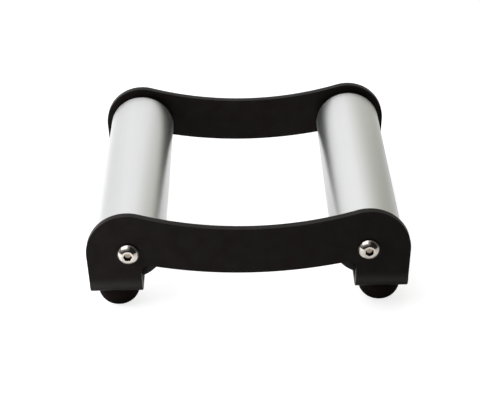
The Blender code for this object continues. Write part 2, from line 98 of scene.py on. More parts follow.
def length(name, description, default):
    """A length in metres."""
    return number(name, description, default, precision=5, subtype="DISTANCE", unit="LENGTH")


def angle(name, description, default):
    """An angle in radians."""
    return FloatProperty(name=name, description=description, default=default, subtype="ANGLE")


def colour(name, description, default):
    """A colour in linear values."""
    return FloatVectorProperty(
        name=name, description=description, default=default, min=0, max=1, size=3, subtype="COLOR")


class RollersPlateSizes(PropertyGroup):
    """Sizes of the folded side plates."""

    thickness: length("Sheet", "Thickness of the steel sheet", 0.005)
    end_radius: length("End radius", "Radius of each round end", 0.0262)
    waist_top: length("Waist", "Height of the waist over the axles", 0.0156)
    beam_bottom: length("Beam bottom", "Depth of the beam under the axles", 0.0152)
    beam_radius: length("Beam radius", "Radius of the beam's lower edge", 0.300)
    leg_inset: length("Leg inset", "Inner edge of a leg from its axle", 0.0078)
    leg_reach: length("Leg reach", "Outer edge of a leg from its axle", 0.0252)
    notch_radius: length("Notch", "Radius of the relief between leg and beam", 0.0045)
    bend_radius: length("Bend", "Inner radius of the fold", 0.006)
    flange_reach: length("Flange", "Reach of the flange from the outer face", PLATE_HIGH.y - PLATE_LOW.y)
    corner_radius: length("Corner", "Radius of the flange's corners", 0.006)
    edge_round: length("Edge round", "Rounding of the coated edges", 0.0004)
    bolt_hole: length("Bolt hole", "Radius of the axle bolt's hole", 0.0045)
    stud_hole: length("Stud hole", "Radius of the foot stud's hole", 0.0033)

    @property
    def bend_outer(self):
        """Outer radius of the fold."""
        return self.bend_radius + self.thickness

    @property
    def bend_start(self):
        """Height over the axles at which the fold begins, which is below zero."""
        return PLATE_LOW.z - AXLE_Z + self.bend_outer

    @property
    def bend_length(self):
        """Length of the fold along the middle of the sheet."""
        return (self.bend_radius + self.thickness / 2) * math.pi / 2


class RollersFootSizes(PropertyGroup):
    """Sizes of the rubber feet and their studs."""

    radius: length("Radius", "Radius of the rubber dome", 0.01375)
    height: length("Height", "Height of the rubber dome", FOOT_HIGH.z)
    tread_radius: length("Tread", "Radius of the flat tread", 0.0035)
    fullness: number("Fullness", "How square the dome is", 2.4)
    top_chamfer: length("Top chamfer", "Chamfer round the dome's top", 0.0006)
    recess_radius: length("Recess", "Radius of the recess for the stud's plate", 0.0093)
    recess_depth: length("Recess depth", "Depth of that recess", 0.0018)
    stud_radius: length("Stud", "Outer radius of the stud's thread", 0.003)
    stud_chamfer: length("Stud chamfer", "Chamfer of the stud's tip", 0.0004)
    stud_edge: length("Stud edge", "Rounding of the stud's edges", 0.0001)
    stud_plate_radius: length("Stud plate", "Radius of the stud's plate", 0.009)
    stud_plate: length("Stud plate sheet", "Thickness of the stud's plate", 0.0015)
    stud_pitch: length("Stud pitch", "Pitch of the stud's thread", 0.001)


class RollersTubeSizes(PropertyGroup):
    """Sizes of the rollers and their end caps."""

    radius: length("Radius", "Outer radius of the roller", (TUBE_HIGH.x - TUBE_LOW.x) / 2)
    wall: length("Wall", "Wall of the tube", 0.002)
    chamfer: length("Chamfer", "Chamfer of the tube's ends", 0.0004)
    rim_step: length("Rim step", "Step from the tube down to the cap's rim", 0.0002)
    cap_chamfer: length("Cap chamfer", "Chamfer of the cap's rim", 0.0005)
    cap_edge: length("Cap edge", "Rounding of the cap's other edges", 0.00012)
    cap_flange: length("Cap flange", "Thickness of the cap's rim", 0.0015)
    seat_radius: length("Seat", "Radius of the bearing's seat in the cap", 0.0143)
    groove_radius: length("Groove", "Radius of the snap ring's groove", 0.0152)
    ledge_radius: length("Ledge", "Radius in the shoulder behind the bearing", 0.0118)
    ledge_height: length("Ledge height", "Height of that shoulder over the back wall", 0.001)
    wall_hole: length("Wall hole", "Radius of the hole in the cap's back wall", 0.0075)
    back_wall: length("Back wall", "Thickness of the cap's back wall", 0.0025)


class RollersBearingSizes(PropertyGroup):
    """Sizes of the ball bearings and snap rings."""

    bore: length("Bore", "Radius of the inner ring's bore", 0.006)
    outside: length("Outside", "Outer radius of the outer ring", 0.014)
    ring_wall: length("Ring wall", "Wall of each ring at its shoulders", 0.00225)
    ring_edge: length("Ring edge", "Rounding of the rings' edges", 0.00015)
    race_depth: length("Race depth", "Depth of each race under its shoulders", 0.00063)
    seal_step: length("Seal step", "Depth of each seal's seat", 0.0007)
    seal_seat: length("Seal seat", "Width of each seal's seat", 0.001)
    seal_thickness: length("Seal", "Thickness of each seal", 0.0005)
    seal_edge: length("Seal edge", "Rounding of the seals' edges", 0.00005)
    seal_inset: length("Seal inset", "Distance of a seal under the rings' faces", 0.0002)
    ball_count: IntProperty(name="Balls", description="Balls in each bearing", default=8, min=3)
    cage_thickness: length("Cage", "Thickness of the pressed cage", 0.0005)
    cage_width: length("Cage width", "Width of each half of the cage", 0.0016)
    snap_width: length("Snap ring", "Radial width of the snap ring", 0.0022)
    snap_edge: length("Snap edge", "Rounding of the snap ring's edges", 0.00012)
    snap_lug: length("Snap lug", "Radial width of the snap ring's lugs", 0.0034)
    snap_hole: length("Snap hole", "Radius of the holes in the lugs", 0.0008)
    snap_opening: angle("Opening", "Angle of the snap ring's gap", math.radians(34))
    snap_lug_angle: angle("Lug angle", "Angle that each lug spans", math.radians(17))

    @property
    def pitch(self):
        """Radius of the circle on which the balls run."""
        return (self.bore + self.outside) / 2

    @property
    def shoulder(self):
        """Distance of each ring's shoulder from the pitch circle."""
        return self.pitch - self.bore - self.ring_wall


class RollersAxleSizes(PropertyGroup):
    """Sizes of the axles, spacers and bolts."""

    radius: length("Axle", "Radius of the axle", 0.0057)
    chamfer: length("Axle chamfer", "Chamfer of the axle's ends", 0.0005)
    hole: length("Hole", "Radius of the axle's threaded hole", 0.0043)
    hole_rest: length("Hole rest", "Depth of the axle's hole behind the bolt's tip", 0.002)
    drill_slope: angle("Drill slope", "Slope of the hole's drilled bottom", math.radians(31))
    spacer_wall: length("Spacer wall", "Wall of the spacer", 0.002)
    spacer_edge: length("Spacer edge", "Rounding of the spacer's edges", 0.0002)
    bolt_radius: length("Bolt", "Outer radius of the bolt's thread", 0.004)
    bolt_pitch: length("Bolt pitch", "Pitch of the bolt's thread", 0.00125)
    bolt_neck: length("Bolt neck", "Length of the plain neck under the head", 0.005)
    bolt_taper: length("Bolt taper", "Chamfer of the bolt's tip and of its neck", 0.0006)
    thread_start: length("Thread start", "Distance of the bolt's thread from its tip", 0.0004)
    head_radius: length("Head", "Radius of the button head", 0.007)
    head_height: length("Head height", "Height of the button head", 0.0044)
    head_rim: length("Head rim", "Height of the straight rim under the dome", 0.0008)
    head_chamfer: length("Head chamfer", "Chamfer of the head's lower edge", 0.0002)
    head_flat: length("Head flat", "Radius of the flat on top of the dome", 0.0033)
    socket_width: length("Socket", "Width of the hexagon across its flats", 0.005)
    socket_depth: length("Socket depth", "Depth of the hexagon socket", 0.0029)
    drill_depth: length("Drill depth", "Depth of the drilled cone under the socket", 0.0009)
    mouth_depth: length("Mouth depth", "Depth of the socket's chamfered mouth", 0.00046)
    mouth_reach: length("Mouth reach", "Reach of the mouth's planes at the crown", 0.0030)
    left_turn: angle("Left turn", "Turn of the left bolts' sockets", 0)
    right_turn: angle("Right turn", "Turn of the right bolts' sockets", math.radians(30))


class RollersFinishes(PropertyGroup):
    """Base colours of the finishes."""

    powder_coat: colour("Powder coat", "Matte black coating of the side plates", (0.0118, 0.0078, 0.0070))
    aluminium: colour("Aluminium", "Satin tube", (0.798, 0.806, 0.801))
    cap_plastic: colour("Cap plastic", "Matte black end caps", (0.0085, 0.0065, 0.0058))
    ring_steel: colour("Ring steel", "Ground bearing rings", (0.55, 0.56, 0.58))
    ball_steel: colour("Ball steel", "Polished balls", (0.62, 0.62, 0.64))
    seal_rubber: colour("Seal rubber", "Bearing seals", (0.012, 0.012, 0.013))
    spring_steel: colour("Spring steel", "Oiled black snap rings", (0.08, 0.08, 0.085))
    axle_steel: colour("Axle steel", "Drawn steel bar", (0.50, 0.50, 0.51))
    zinc: colour("Zinc", "Zinc plated spacers and studs", (0.60, 0.61, 0.62))
    stainless: colour("Stainless", "Polished button-head bolts", (0.65, 0.60, 0.55))
    foot_rubber: colour("Foot rubber", "Moulded rubber feet", (0.0170, 0.0120, 0.0105))
    floor: colour("Floor", "Pale studio floor", (0.60, 0.60, 0.60))


class RollersStage(PropertyGroup):
    """The camera, the floor and the lights."""

    camera_place: FloatVectorProperty(
        name="Camera", description="Place of the camera", default=(-0.0035, -0.9038, 0.5073), size=3,
        subtype="TRANSLATION", unit="LENGTH")
    camera_yaw: angle("Yaw", "Turn towards +X", -0.0014)
    camera_pitch: angle("Pitch", "Tilt down", 0.4875)
    camera_roll: angle("Roll", "Roll of the camera", -0.0216)
    lens: number("Lens", "Focal length on a 36 mm sensor", 111.665, unit="CAMERA")
    floor_size: length("Floor size", "Side of the square floor", 12.0)
    softbox_width: length("Softbox width", "Width of the softbox", 2.40)
    softbox_height: length("Softbox height", "Height of the softbox", 1.60)
    softbox_power: number("Softbox power", "Power of the softbox", 22.0, unit="POWER")
    spill_power: number("Spill power", "Power of the softbox's wide spill", 9.0, unit="POWER")
    fill_size: length("Fill size", "Side of the fill lamp on the left", 0.12)
    fill_power: number("Fill power", "Power of the fill lamp on the left", 0.4, unit="POWER")
    card_width: length("Card width", "Width of the front card", 4.4)
    card_height: length("Card height", "Height of the front card", 1.9)
    card_power: number("Card power", "Power of the front card", 18.0, unit="POWER")
    backdrop_distance: length("Backdrop distance", "Distance of the backdrop from the middle", 0.50)
    backdrop_width: length("Backdrop width", "Width of the backdrop", 1.80)
    backdrop_height: length("Backdrop height", "Height of the backdrop", 0.78)
    room_level: number("Room level", "Brightness of the room in front of the stand", 0.04)
    right_share: number("Right share", "Brightness left at the right side", 0.44)


class RollersSettings(PropertyGroup):
    """All the settings of the stand."""

    plate: PointerProperty(type=RollersPlateSizes)
    foot: PointerProperty(type=RollersFootSizes)
    tube: PointerProperty(type=RollersTubeSizes)
    bearing: PointerProperty(type=RollersBearingSizes)
    axle: PointerProperty(type=RollersAxleSizes)
    finish: PointerProperty(type=RollersFinishes)
    stage: PointerProperty(type=RollersStage)


def settings():
    """The settings of the open scene."""
    return bpy.context.scene.bike_rollers


# Node wiring, shared by the shaders and the geometry trees

# The type of a tree's input, by the kind of value that it takes
SOCKETS = {
    float: "NodeSocketFloat", int: "NodeSocketInt", type(None): "NodeSocketMaterial",
    "VALUE": "NodeSocketFloat", "VECTOR": "NodeSocketVector"}


class Wire:
    """The output of a node, for use in formulas."""

    def __init__(self, socket):
        self.socket = socket
        self.tree = socket.id_data

    def to(self, operation, *others):
        """The result of a maths node that starts with this wire."""
        return maths(self.tree, operation, self, *others)

    def __add__(self, other):
        return self.to("ADD", other)

    def __sub__(self, other):
        return self.to("SUBTRACT", other)

    def __rsub__(self, other):
        return maths(self.tree, "SUBTRACT", other, self)

    def __mul__(self, other):
        return self.to("MULTIPLY", other)

    def __truediv__(self, other):
        return self.to("DIVIDE", other)

    def __rtruediv__(self, other):
        return maths(self.tree, "DIVIDE", other, self)

    def __pow__(self, other):
        return self.to("POWER", other)


def feed(node, values):
    """Link each value that is a wire to the node's input, and write any other in."""
    for key, value in values.items():
        if isinstance(value, Wire):
            value.tree.links.new(value.socket, node.inputs[key])
        else:
            node.inputs[key].default_value = value


def add_node(tree, kind, values=None, **options):
    """A node with its options set and its inputs fed."""
    node = tree.nodes.new(kind)
    for name, value in options.items():
        setattr(node, name, value)
    feed(node, values or {})
    return node


def wire(tree, kind, values=None, output=0, **options):
    """An output of a new node."""
    return Wire(add_node(tree, kind, values, **options).outputs[output])


def maths(tree, operation, *values):
    """The result of a maths node."""
    return wire(tree, "ShaderNodeMath", dict(enumerate(values)), operation=operation)


def vector_maths(tree, operation, values):
    """The result of a vector maths node."""
    return wire(tree, "ShaderNodeVectorMath", values, operation=operation)


def position(tree):
    """The place of each point of a mesh or curve."""
    return wire(tree, "GeometryNodeInputPosition")


def geometry(tree, kind, **values):
    """A shape made by a geometry node from values named like its inputs."""
    return wire(tree, f"GeometryNode{kind}", {label(key): value for key, value in values.items()})


def combined(tree, **parts):
    """A vector of the given parts."""
    return wire(tree, "ShaderNodeCombineXYZ", parts)


def part(vector, axis):
    """One part of a vector."""
    return wire(vector.tree, "ShaderNodeSeparateXYZ", {"Vector": vector}, axis)


# The option of a change that starts and ends softly
SOFTLY = {"interpolation_type": "SMOOTHSTEP"}


def carried(value, start, end, first=0.0, last=1.0, **options):
    """A value carried from one range to another and held at its ends."""
    return wire(value.tree, "ShaderNodeMapRange", {
        "Value": value, "From Min": start, "From Max": end, "To Min": first, "To Max": last}, **options)


def label(name):
    """The label of something that has a name in the code."""
    return name.replace("_", " ").title()


def shared_tree(name, kind, values, make):
    """The node tree that a function makes from named inputs, made once. The first values are its defaults."""
    if label(name) in bpy.data.node_groups:
        return bpy.data.node_groups[label(name)]
    tree = bpy.data.node_groups.new(label(name), kind)
    for key, value in values.items():
        form = value.socket.type if isinstance(value, Wire) else type(value)
        socket = tree.interface.new_socket(label(key), in_out="INPUT", socket_type=SOCKETS[form])
        if form in (float, int):
            socket.default_value = value
    given = tree.nodes.new("NodeGroupInput").outputs
    results = make(tree, **{key: Wire(given[label(key)]) for key in values})
    for key, result in results.items():
        form = "NodeSocketFloat" if result.socket.type == "VALUE" else "NodeSocketGeometry"
        tree.interface.new_socket(key, in_out="OUTPUT", socket_type=form)
    add_node(tree, "NodeGroupOutput", results)
    return tree


# Shader effects used by more than one finish

# Noise levels between which the rub and the dust come in
RUB_LEVELS = (0.35, 0.65)
DUST_LEVELS = (0.45, 0.75)

# How far up a face looks where dust starts to lie, and where it lies fully
DUST_SLOPES = (0.2, 1.0)

# Broad streaks on drawn metal, in streaks per metre
BROAD_STREAKS = (160.0, 4.0, 160.0)


def object_place(tree):
    """The place on the object."""
    return wire(tree, "ShaderNodeTexCoord", output="Object")


def normal_up(tree):
    """How far the surface looks up: 1 straight up and -1 straight down."""
    return part(wire(tree, "ShaderNodeNewGeometry", output="Normal"), "Z")


def noise(place, scale, detail, **options):
    """Soft noise between 0 and 1."""
    return wire(
        place.tree, "ShaderNodeTexNoise", {"Vector": place, "Scale": scale, "Detail": detail}, **options)


def stretched_noise(tree, stretch, detail):
    """Noise on the object that is stretched differently along each axis."""
    return noise(vector_maths(tree, "MULTIPLY", {0: object_place(tree), 1: stretch}), 1.0, detail=detail)


def fine_grain(tree, grain_size, cloud_size, tone_spread):
    """Even fine relief, such as orange peel, moulded texture or blasted metal, with a soft change of tone."""
    grain = noise(object_place(tree), 1.0 / grain_size, detail=2.0)
    cloud = noise(object_place(tree), 1.0 / cloud_size, detail=3.0)
    tone = (cloud - 0.5 + (grain - 0.5) * 0.5) * tone_spread + 1.0
    return {"Height": grain, "Tone": tone, "Cloud": cloud}


def drawn_streaks(tree, line_width, line_length, tone_spread):
    """Faint lines along Y, as a tube or bar keeps from being drawn through its die."""
    across = 1.0 / line_width
    lines = stretched_noise(tree, combined(tree, X=across, Y=1.0 / line_length, Z=across), detail=3.0)
    broad = stretched_noise(tree, BROAD_STREAKS, detail=2.0)
    return {"Height": lines, "Tone": (lines + broad - 1.0) * tone_spread + 1.0, "Gloss": broad}


def turned_marks(tree, turning_map, ring_pitch, tone_spread):
    """Fine rings round a turned piece, from its own map of radius and height in centimetres."""
    rings = noise(turning_map, 0.01 / ring_pitch, detail=2.0, noise_dimensions="2D")
    return {"Height": rings, "Tone": (rings - 0.5) * tone_spread + 1.0}


def edge_wear(tree, edge_mask, patch_size, amount):
    """Rubbed edges: the piece's own edge mask, broken up so that the rub comes and goes."""
    patches = noise(object_place(tree), 1.0 / patch_size, detail=4.0)
    return {"Wear": carried(patches, *RUB_LEVELS) * edge_mask * amount}


def settled_dust(tree, speck_size, amount):
    """Fine dust that settles on faces that look up."""
    specks = noise(object_place(tree), 1.0 / speck_size, detail=6.0)
    return {"Dust": carried(normal_up(tree), *DUST_SLOPES) * carried(specks, *DUST_LEVELS) * amount}


def effect(tree, make, **values):
    """The outputs of a shared effect, placed in a material's tree."""
    group = shared_tree(make.__name__, "ShaderNodeTree", values, make)
    node = add_node(tree, "ShaderNodeGroup", {label(key): values[key] for key in values}, node_tree=group)
    return {item.name: Wire(item) for item in node.outputs}


# Finishes

RUBBED_COAT = (0.018, 0.017, 0.016, 1.0)
GREY_DUST = (0.35, 0.34, 0.32, 1.0)
PALE_DUST = (0.30, 0.29, 0.27, 1.0)
# Painted shade for the walls of a socket recess, and a beige painted reflection tint for its middle
SOCKET_PAINTED_SHADE = (0.012, 0.010, 0.009, 1.0)
SOCKET_PAINTED_REFLECTION = (0.41, 0.33, 0.26, 1.0)

# How much a full rub and a recess change the roughness
RUB_SMOOTHING = -0.12
RECESS_ROUGHENING = 0.10

# The clear coat over the plates' folds
FOLD_COAT = 0.31
FOLD_COAT_ROUGHNESS = 0.40

# The depth under the mouth at which a recess's painted shade is full
FULL_SHADE_DEPTH = 0.0003

# Distances from the axis, in centimetres, between which the painted reflection tint in a recess's middle
# fades into its painted shade
PAINTED_REFLECTION_FADE = (0.175, 0.205)

# How far up a face looks where the rubber's painted shade is darkest, and where it ends
UNDERSIDE_SHADE_SLOPES = (-0.75, -0.10)


def mask(tree, name):
    """The number that the mesh carries on its points under a name."""
    return wire(tree, "ShaderNodeAttribute", output="Fac", attribute_name=name)


def tinted(base, tone):
    """The base colour made lighter or darker by a tone round 1."""
    return vector_maths(tone.tree, "SCALE", {0: base, "Scale": tone})


def blend(factor, first, second):
    """A mix of two colours."""
    return wire(
        factor.tree, "ShaderNodeMix", {"Factor": factor, "A": first, "B": second}, "Result", data_type="RGBA")


def relief(height, depth):
    """The normal of a bump with a depth in metres, from a height between 0 and 1."""
    return wire(height.tree, "ShaderNodeBump", {"Height": height, "Distance": depth, "Strength": 1.0})


def varied(roughness, level, spread):
    """A roughness that goes up and down with soft noise."""
    return (level - 0.5) * spread + roughness


def coated(tree, base, roughness, grain_size, grain_depth):
    """Black coating or plastic: fine relief, soft clouds, rubbed edges, glossier folds and some dust."""
    grain = effect(tree, fine_grain, grain_size=grain_size, cloud_size=0.02, tone_spread=0.25)
    wear = effect(tree, edge_wear, edge_mask=mask(tree, "edge_mask"), patch_size=0.010, amount=0.5)["Wear"]
    dust = effect(tree, settled_dust, speck_size=0.0012, amount=0.010)["Dust"]
    return {
        "Base Color": blend(dust, blend(wear, tinted(base, grain["Tone"]), RUBBED_COAT), GREY_DUST),
        "Roughness": varied(roughness, grain["Cloud"], 0.10) + wear * RUB_SMOOTHING,
        "Coat Weight": mask(tree, "fold") * FOLD_COAT,
        "Coat Roughness": FOLD_COAT_ROUGHNESS,
        "Normal": relief(grain["Height"], grain_depth)}


def drawn(tree, base, roughness, line_depth, stretch=0.0):
    """Bare drawn metal with lines along its length. Its highlights may be stretched along it too."""
    streaks = effect(tree, drawn_streaks, line_width=0.0005, line_length=0.15, tone_spread=0.045)
    grain = effect(tree, fine_grain, grain_size=0.00025, cloud_size=0.04, tone_spread=0.03)
    look = {
        "Base Color": tinted(base, streaks["Tone"] * grain["Tone"]),
        "Roughness": varied(roughness, streaks["Gloss"], 0.10),
        "Normal": relief(streaks["Height"], line_depth)}
    if stretch:
        look["Anisotropic"] = stretch
        look["Anisotropic Rotation"] = 0.25
        look["Tangent"] = wire(tree, "ShaderNodeTangent", direction_type="RADIAL", axis="Y")
    return look


def lathed(tree, base, roughness, ring_depth, tone_spread=0.08):
    """Bare metal with fine rings from the lathe, and a recess with painted shade on its walls and a painted
    reflection tint in its middle.
    """
    turning = wire(tree, "ShaderNodeUVMap", uv_map="turning")
    marks = effect(tree, turned_marks, turning_map=turning, ring_pitch=0.00015, tone_spread=tone_spread)
    grain = effect(tree, fine_grain, grain_size=0.0004, cloud_size=0.006, tone_spread=0.06)
    # Painted shade that grows with depth in a recess, with a painted reflection tint in its middle
    shaded_recess = carried(mask(tree, "recess_depth"), 0.0, FULL_SHADE_DEPTH)
    middle = carried(part(turning, "X"), *PAINTED_REFLECTION_FADE, 1.0, 0.0)
    recess_shade_and_reflection = blend(middle, SOCKET_PAINTED_SHADE, SOCKET_PAINTED_REFLECTION)
    return {
        "Base Color": blend(shaded_recess, tinted(base, marks["Tone"] * grain["Tone"]), recess_shade_and_reflection),
        "Roughness": varied(roughness, grain["Cloud"], 0.08) + shaded_recess * RECESS_ROUGHENING,
        "Normal": relief(marks["Height"], ring_depth)}


def moulded(tree, base, roughness, grain_size, grain_depth, underside=1.0):
    """Moulded rubber: a dull skin with a fine texture and pale dust in it, and painted shade where it looks
    down.
    """
    grain = effect(tree, fine_grain, grain_size=grain_size, cloud_size=0.008, tone_spread=0.30)
    dust = effect(tree, settled_dust, speck_size=0.0008, amount=0.02)["Dust"]
    # Painted shade, darkest on faces that look down
    shade = carried(normal_up(tree), *UNDERSIDE_SHADE_SLOPES, underside, 1.0)
    return {
        "Base Color": blend(dust, tinted(base, grain["Tone"] * shade), PALE_DUST),
        "Roughness": varied(roughness, grain["Cloud"], 0.12),
        "Normal": relief(grain["Height"], grain_depth)}


# The kind, material, metallic, specular level and roughness of each finish, and its kind's other values
FINISHES = {
    "powder_coat": (coated, "powder_coat", 0.0, 0.07, 0.42, 0.0009, 0.000012),
    "cap_plastic": (coated, "cap_plastic", 0.0, 0.18, 0.45, 0.0005, 0.00001),
    "aluminium": (drawn, "satin_aluminium", 1.0, 0.5, 0.35, 0.0000012, 0.5),
    "axle_steel": (drawn, "axle_steel", 1.0, 0.5, 0.32, 0.000002),
    "ring_steel": (lathed, "ring_steel", 1.0, 0.5, 0.22, 0.000001),
    "ball_steel": (lathed, "ball_steel", 1.0, 0.5, 0.10, 0.0000002, 0.02),
    "spring_steel": (lathed, "spring_steel", 1.0, 0.5, 0.38, 0.000001),
    "zinc": (lathed, "zinc_plate", 1.0, 0.5, 0.34, 0.000001),
    "stainless": (lathed, "polished_stainless", 1.0, 0.5, 0.17, 0.0000003, 0.03),
    "seal_rubber": (moulded, "seal_rubber", 0.0, 0.35, 0.55, 0.0004, 0.000006),
    # The feet's last value darkens their undersides with painted shade
    "foot_rubber": (moulded, "foot_rubber", 0.0, 0.015, 0.60, 0.0006, 0.000012, 0.35)}


def new_finish(name, metallic, specular, roughness):
    """A material and its Principled shader."""
    finish = bpy.data.materials.new(name)
    finish.use_nodes = True
    shader = finish.node_tree.nodes["Principled BSDF"]
    feed(shader, {"Metallic": metallic, "Specular IOR Level": specular, "Roughness": roughness})
    return finish, shader


def finish_material(key):
    """The material of a finish, made once."""
    made = bpy.context.scene.get("finishes_made", {})
    if key in made:
        return bpy.data.materials[made[key]]
    kind, name, metallic, specular, roughness, *values = FINISHES[key]
    finish, shader = new_finish(name, metallic, specular, roughness)
    feed(shader, kind(finish.node_tree, (*getattr(settings().finish, key),), roughness, *values))
    bpy.context.scene["finishes_made"] = {**dict(made), key: finish.name}
    return finish


# Mesh work

def arc(centre, radius, start, end, steps):
    """Points on an arc from the start angle to the end angle, both included."""
    turns = [start + (end - start) * step / steps for step in range(steps + 1)]
    return [(centre[0] + radius * math.cos(turn), centre[1] + radius * math.sin(turn)) for turn in turns]


def loose_object(name, data):
    """An object of the data in the scene."""
    obj = bpy.data.objects.new(name, data)
    bpy.context.scene.collection.objects.link(obj)
    return obj


def modify(obj, name, kind, **options):
    """A new modifier on the object, with its options set."""
    modifier = obj.modifiers.new(name, kind)
    for option, value in options.items():
        setattr(modifier, option, value)
    return modifier


def reworked(mesh, change):
    """The mesh after a function has worked on it as a bmesh."""
    work = bmesh.new()
    work.from_mesh(mesh)
    change(work)
    work.to_mesh(mesh)
    work.free()
    return mesh


def smoothed(mesh):
    """The mesh, shaded smooth between its sharp edges."""
    mesh.shade_smooth()
    mesh.set_sharp_from_angle(angle=SMOOTH_ANGLE)
    return mesh


def write_mask(mesh, name, values):
    """Write one number on each point of the mesh."""
    mesh.attributes.new(name, "FLOAT", "POINT").data.foreach_set("value", values)


def mask_by_place(mesh, name, value_at):
    """Write on each point the number that a function gives for its place."""
    write_mask(mesh, name, [value_at(vertex.co) for vertex in mesh.vertices])


def baked(obj, smooth=True):
    """The object's evaluated mesh, with a mask of the rounded edges, whose faces are in the second slot."""
    depsgraph = bpy.context.evaluated_depsgraph_get()
    mesh = bpy.data.meshes.new_from_object(obj.evaluated_get(depsgraph))
    bpy.data.objects.remove(obj, do_unlink=True)
    if smooth:
        smoothed(mesh)
    values = [0.0] * len(mesh.vertices)
    for face in mesh.polygons:
        if face.material_index:
            for index in face.vertices:
                values[index] = 1.0
            face.material_index = 0
    write_mask(mesh, "edge_mask", values)
    return mesh


def round_edges(obj, width, segments=2):
    """Round the object's corners. Their faces go into a material slot of their own."""
    while len(obj.data.materials) < 2:
        obj.data.materials.append(None)
    modify(
        obj, "edges", "BEVEL", width=width, segments=segments, limit_method="ANGLE", angle_limit=SMOOTH_ANGLE,
        harden_normals=True, miter_outer="MITER_ARC", material=1)


def turned(name, profile, steps=96, closed=True, edge=0.0):
    """A turned mesh about Z. The profile holds (radius, height), top to bottom on its outer side."""
    edges = [(index, index + 1) for index in range(len(profile) - 1)]
    if closed:
        edges.append((len(profile) - 1, 0))
    line = bpy.data.meshes.new(name)
    line.from_pydata([(radius, 0, height) for radius, height in profile], edges, [])
    obj = loose_object(name, line)
    modify(
        obj, "turn", "SCREW", axis="Z", steps=steps, render_steps=steps, use_merge_vertices=True,
        merge_threshold=WELD_DISTANCE)
    if edge:
        round_edges(obj, edge)
    return baked(obj)


def turning_map(mesh):
    """The mesh with a map of the radius and the height about Z, in centimetres, for the lathe's rings."""
    layer = mesh.uv_layers.new(name="turning")
    for loop in mesh.loops:
        place = mesh.vertices[loop.vertex_index].co
        layer.data[loop.index].uv = (100 * math.hypot(place.x, place.y), 100 * place.z)
    return mesh


def outline_mesh(name, loops, thickness):
    """A flat mesh in XY from closed outlines, the first the edge and the others its holes."""
    curve = bpy.data.curves.new(name, "CURVE")
    curve.dimensions = "2D"
    curve.fill_mode = "BOTH"
    curve.extrude = thickness / 2
    for loop in loops:
        spline = curve.splines.new("POLY")
        spline.points.add(len(loop) - 1)
        for point, (x, y) in zip(spline.points, loop):
            point.co = (x, y, 0, 1)
        spline.use_cyclic_u = True
    mesh = baked(loose_object(name, curve))
    mesh.attributes.remove(mesh.attributes["edge_mask"])

    def weld(work):
        bmesh.ops.remove_doubles(work, verts=work.verts, dist=WELD_DISTANCE)
        bmesh.ops.recalc_face_normals(work, faces=work.faces)

    return reworked(mesh, weld)


def grown(grow, **sizes):
    """The mesh of a geometry tree that the function grow wires up from named sizes."""
    def make(tree, material, **given):
        real = geometry(tree, "RealizeInstances", geometry=grow(tree, **given))
        return {"Geometry": geometry(tree, "SetMaterial", geometry=real, material=material)}

    tree = shared_tree(grow.__name__, "GeometryNodeTree", {**sizes, "material": None}, make)
    holder = loose_object("grown", bpy.data.meshes.new("grown"))
    modifier = modify(holder, "made", "NODES", node_group=tree)
    for key, value in sizes.items():
        modifier[tree.interface.items_tree[label(key)].identifier] = value
    return baked(holder)


def finished(node, mesh, finish, body, place=Matrix.Identity(4)):
    """Put a fine mesh in the place of a CAD node, with its finish and body."""
    mesh = mesh.copy()
    mesh.transform(place)
    mesh.materials.clear()
    mesh.materials.append(finish_material(finish))
    mesh.name = f"fine_{node}"
    piece = loose_object(f"fine_{node}", mesh)
    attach(piece, body)
    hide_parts(node)
    return piece


def axle_place(side, end):
    """The place of a piece modelled about Z, with the height along the axle outwards from the middle."""
    turn = Matrix.Rotation(-ENDS[end] * math.pi / 2, 4, "X")
    return Matrix.Translation((SIDES[side] * AXLE_X, 0, AXLE_Z)) @ turn


# Side plates

# Turns round the fold, in radians, between which its smooth coat comes in and goes out
GLOSS_IN = (-0.34, 0.28)
GLOSS_OUT = (0.28, 0.70)

# Steps of the cuts across the fold, and across the flat sheet over it
FOLD_STEPS = 14
FLAT_STEPS = 4


def plate_outline(plate):
    """The unfolded side plate as (x, height over the axles), right half and its mirror image."""
    end_radius = plate.end_radius
    waist_top = plate.waist_top
    waist_radius = (AXLE_X ** 2 + waist_top ** 2 - end_radius ** 2) / (2 * (end_radius - waist_top))
    waist_centre = (0, waist_top + waist_radius)
    waist_stop = math.atan2(-waist_centre[1], AXLE_X)
    waist = arc(waist_centre, waist_radius, -math.pi / 2, waist_stop, steps=30)

    corner = Vector((plate.leg_reach, plate.bend_start))
    taper_angle = math.atan2(corner.y, corner.x) + math.acos(end_radius / corner.length)
    end_round = arc((AXLE_X, 0), end_radius, waist_stop + math.pi, taper_angle, steps=48)

    outer_x = AXLE_X + plate.leg_reach
    inner_x = AXLE_X - plate.leg_inset
    tip = plate.bend_start - plate.bend_length - (plate.flange_reach - plate.bend_outer)
    inset = plate.corner_radius
    leg = [(outer_x, plate.bend_start)]
    leg += arc((outer_x - inset, tip + inset), inset, 0, -math.pi / 2, steps=10)
    leg += arc((inner_x + inset, tip + inset), inset, -math.pi / 2, -math.pi, steps=10)

    notch_radius = plate.notch_radius
    beam_centre = (0, plate.beam_radius - plate.beam_bottom)
    notch_x = inner_x - notch_radius
    notch_drop = math.sqrt((plate.beam_radius + notch_radius) ** 2 - notch_x ** 2)
    notch_centre = (notch_x, beam_centre[1] - notch_drop)
    notch_angle = math.atan2(notch_drop, -notch_x)
    notch = arc(notch_centre, notch_radius, 0, notch_angle, steps=10)
    beam = arc(beam_centre, plate.beam_radius, notch_angle - math.pi, -math.pi / 2, steps=24)

    right = waist + end_round[1:] + leg + notch + beam[1:]
    left = [(-x, height) for x, height in reversed(right[1:-1])]
    return right + left


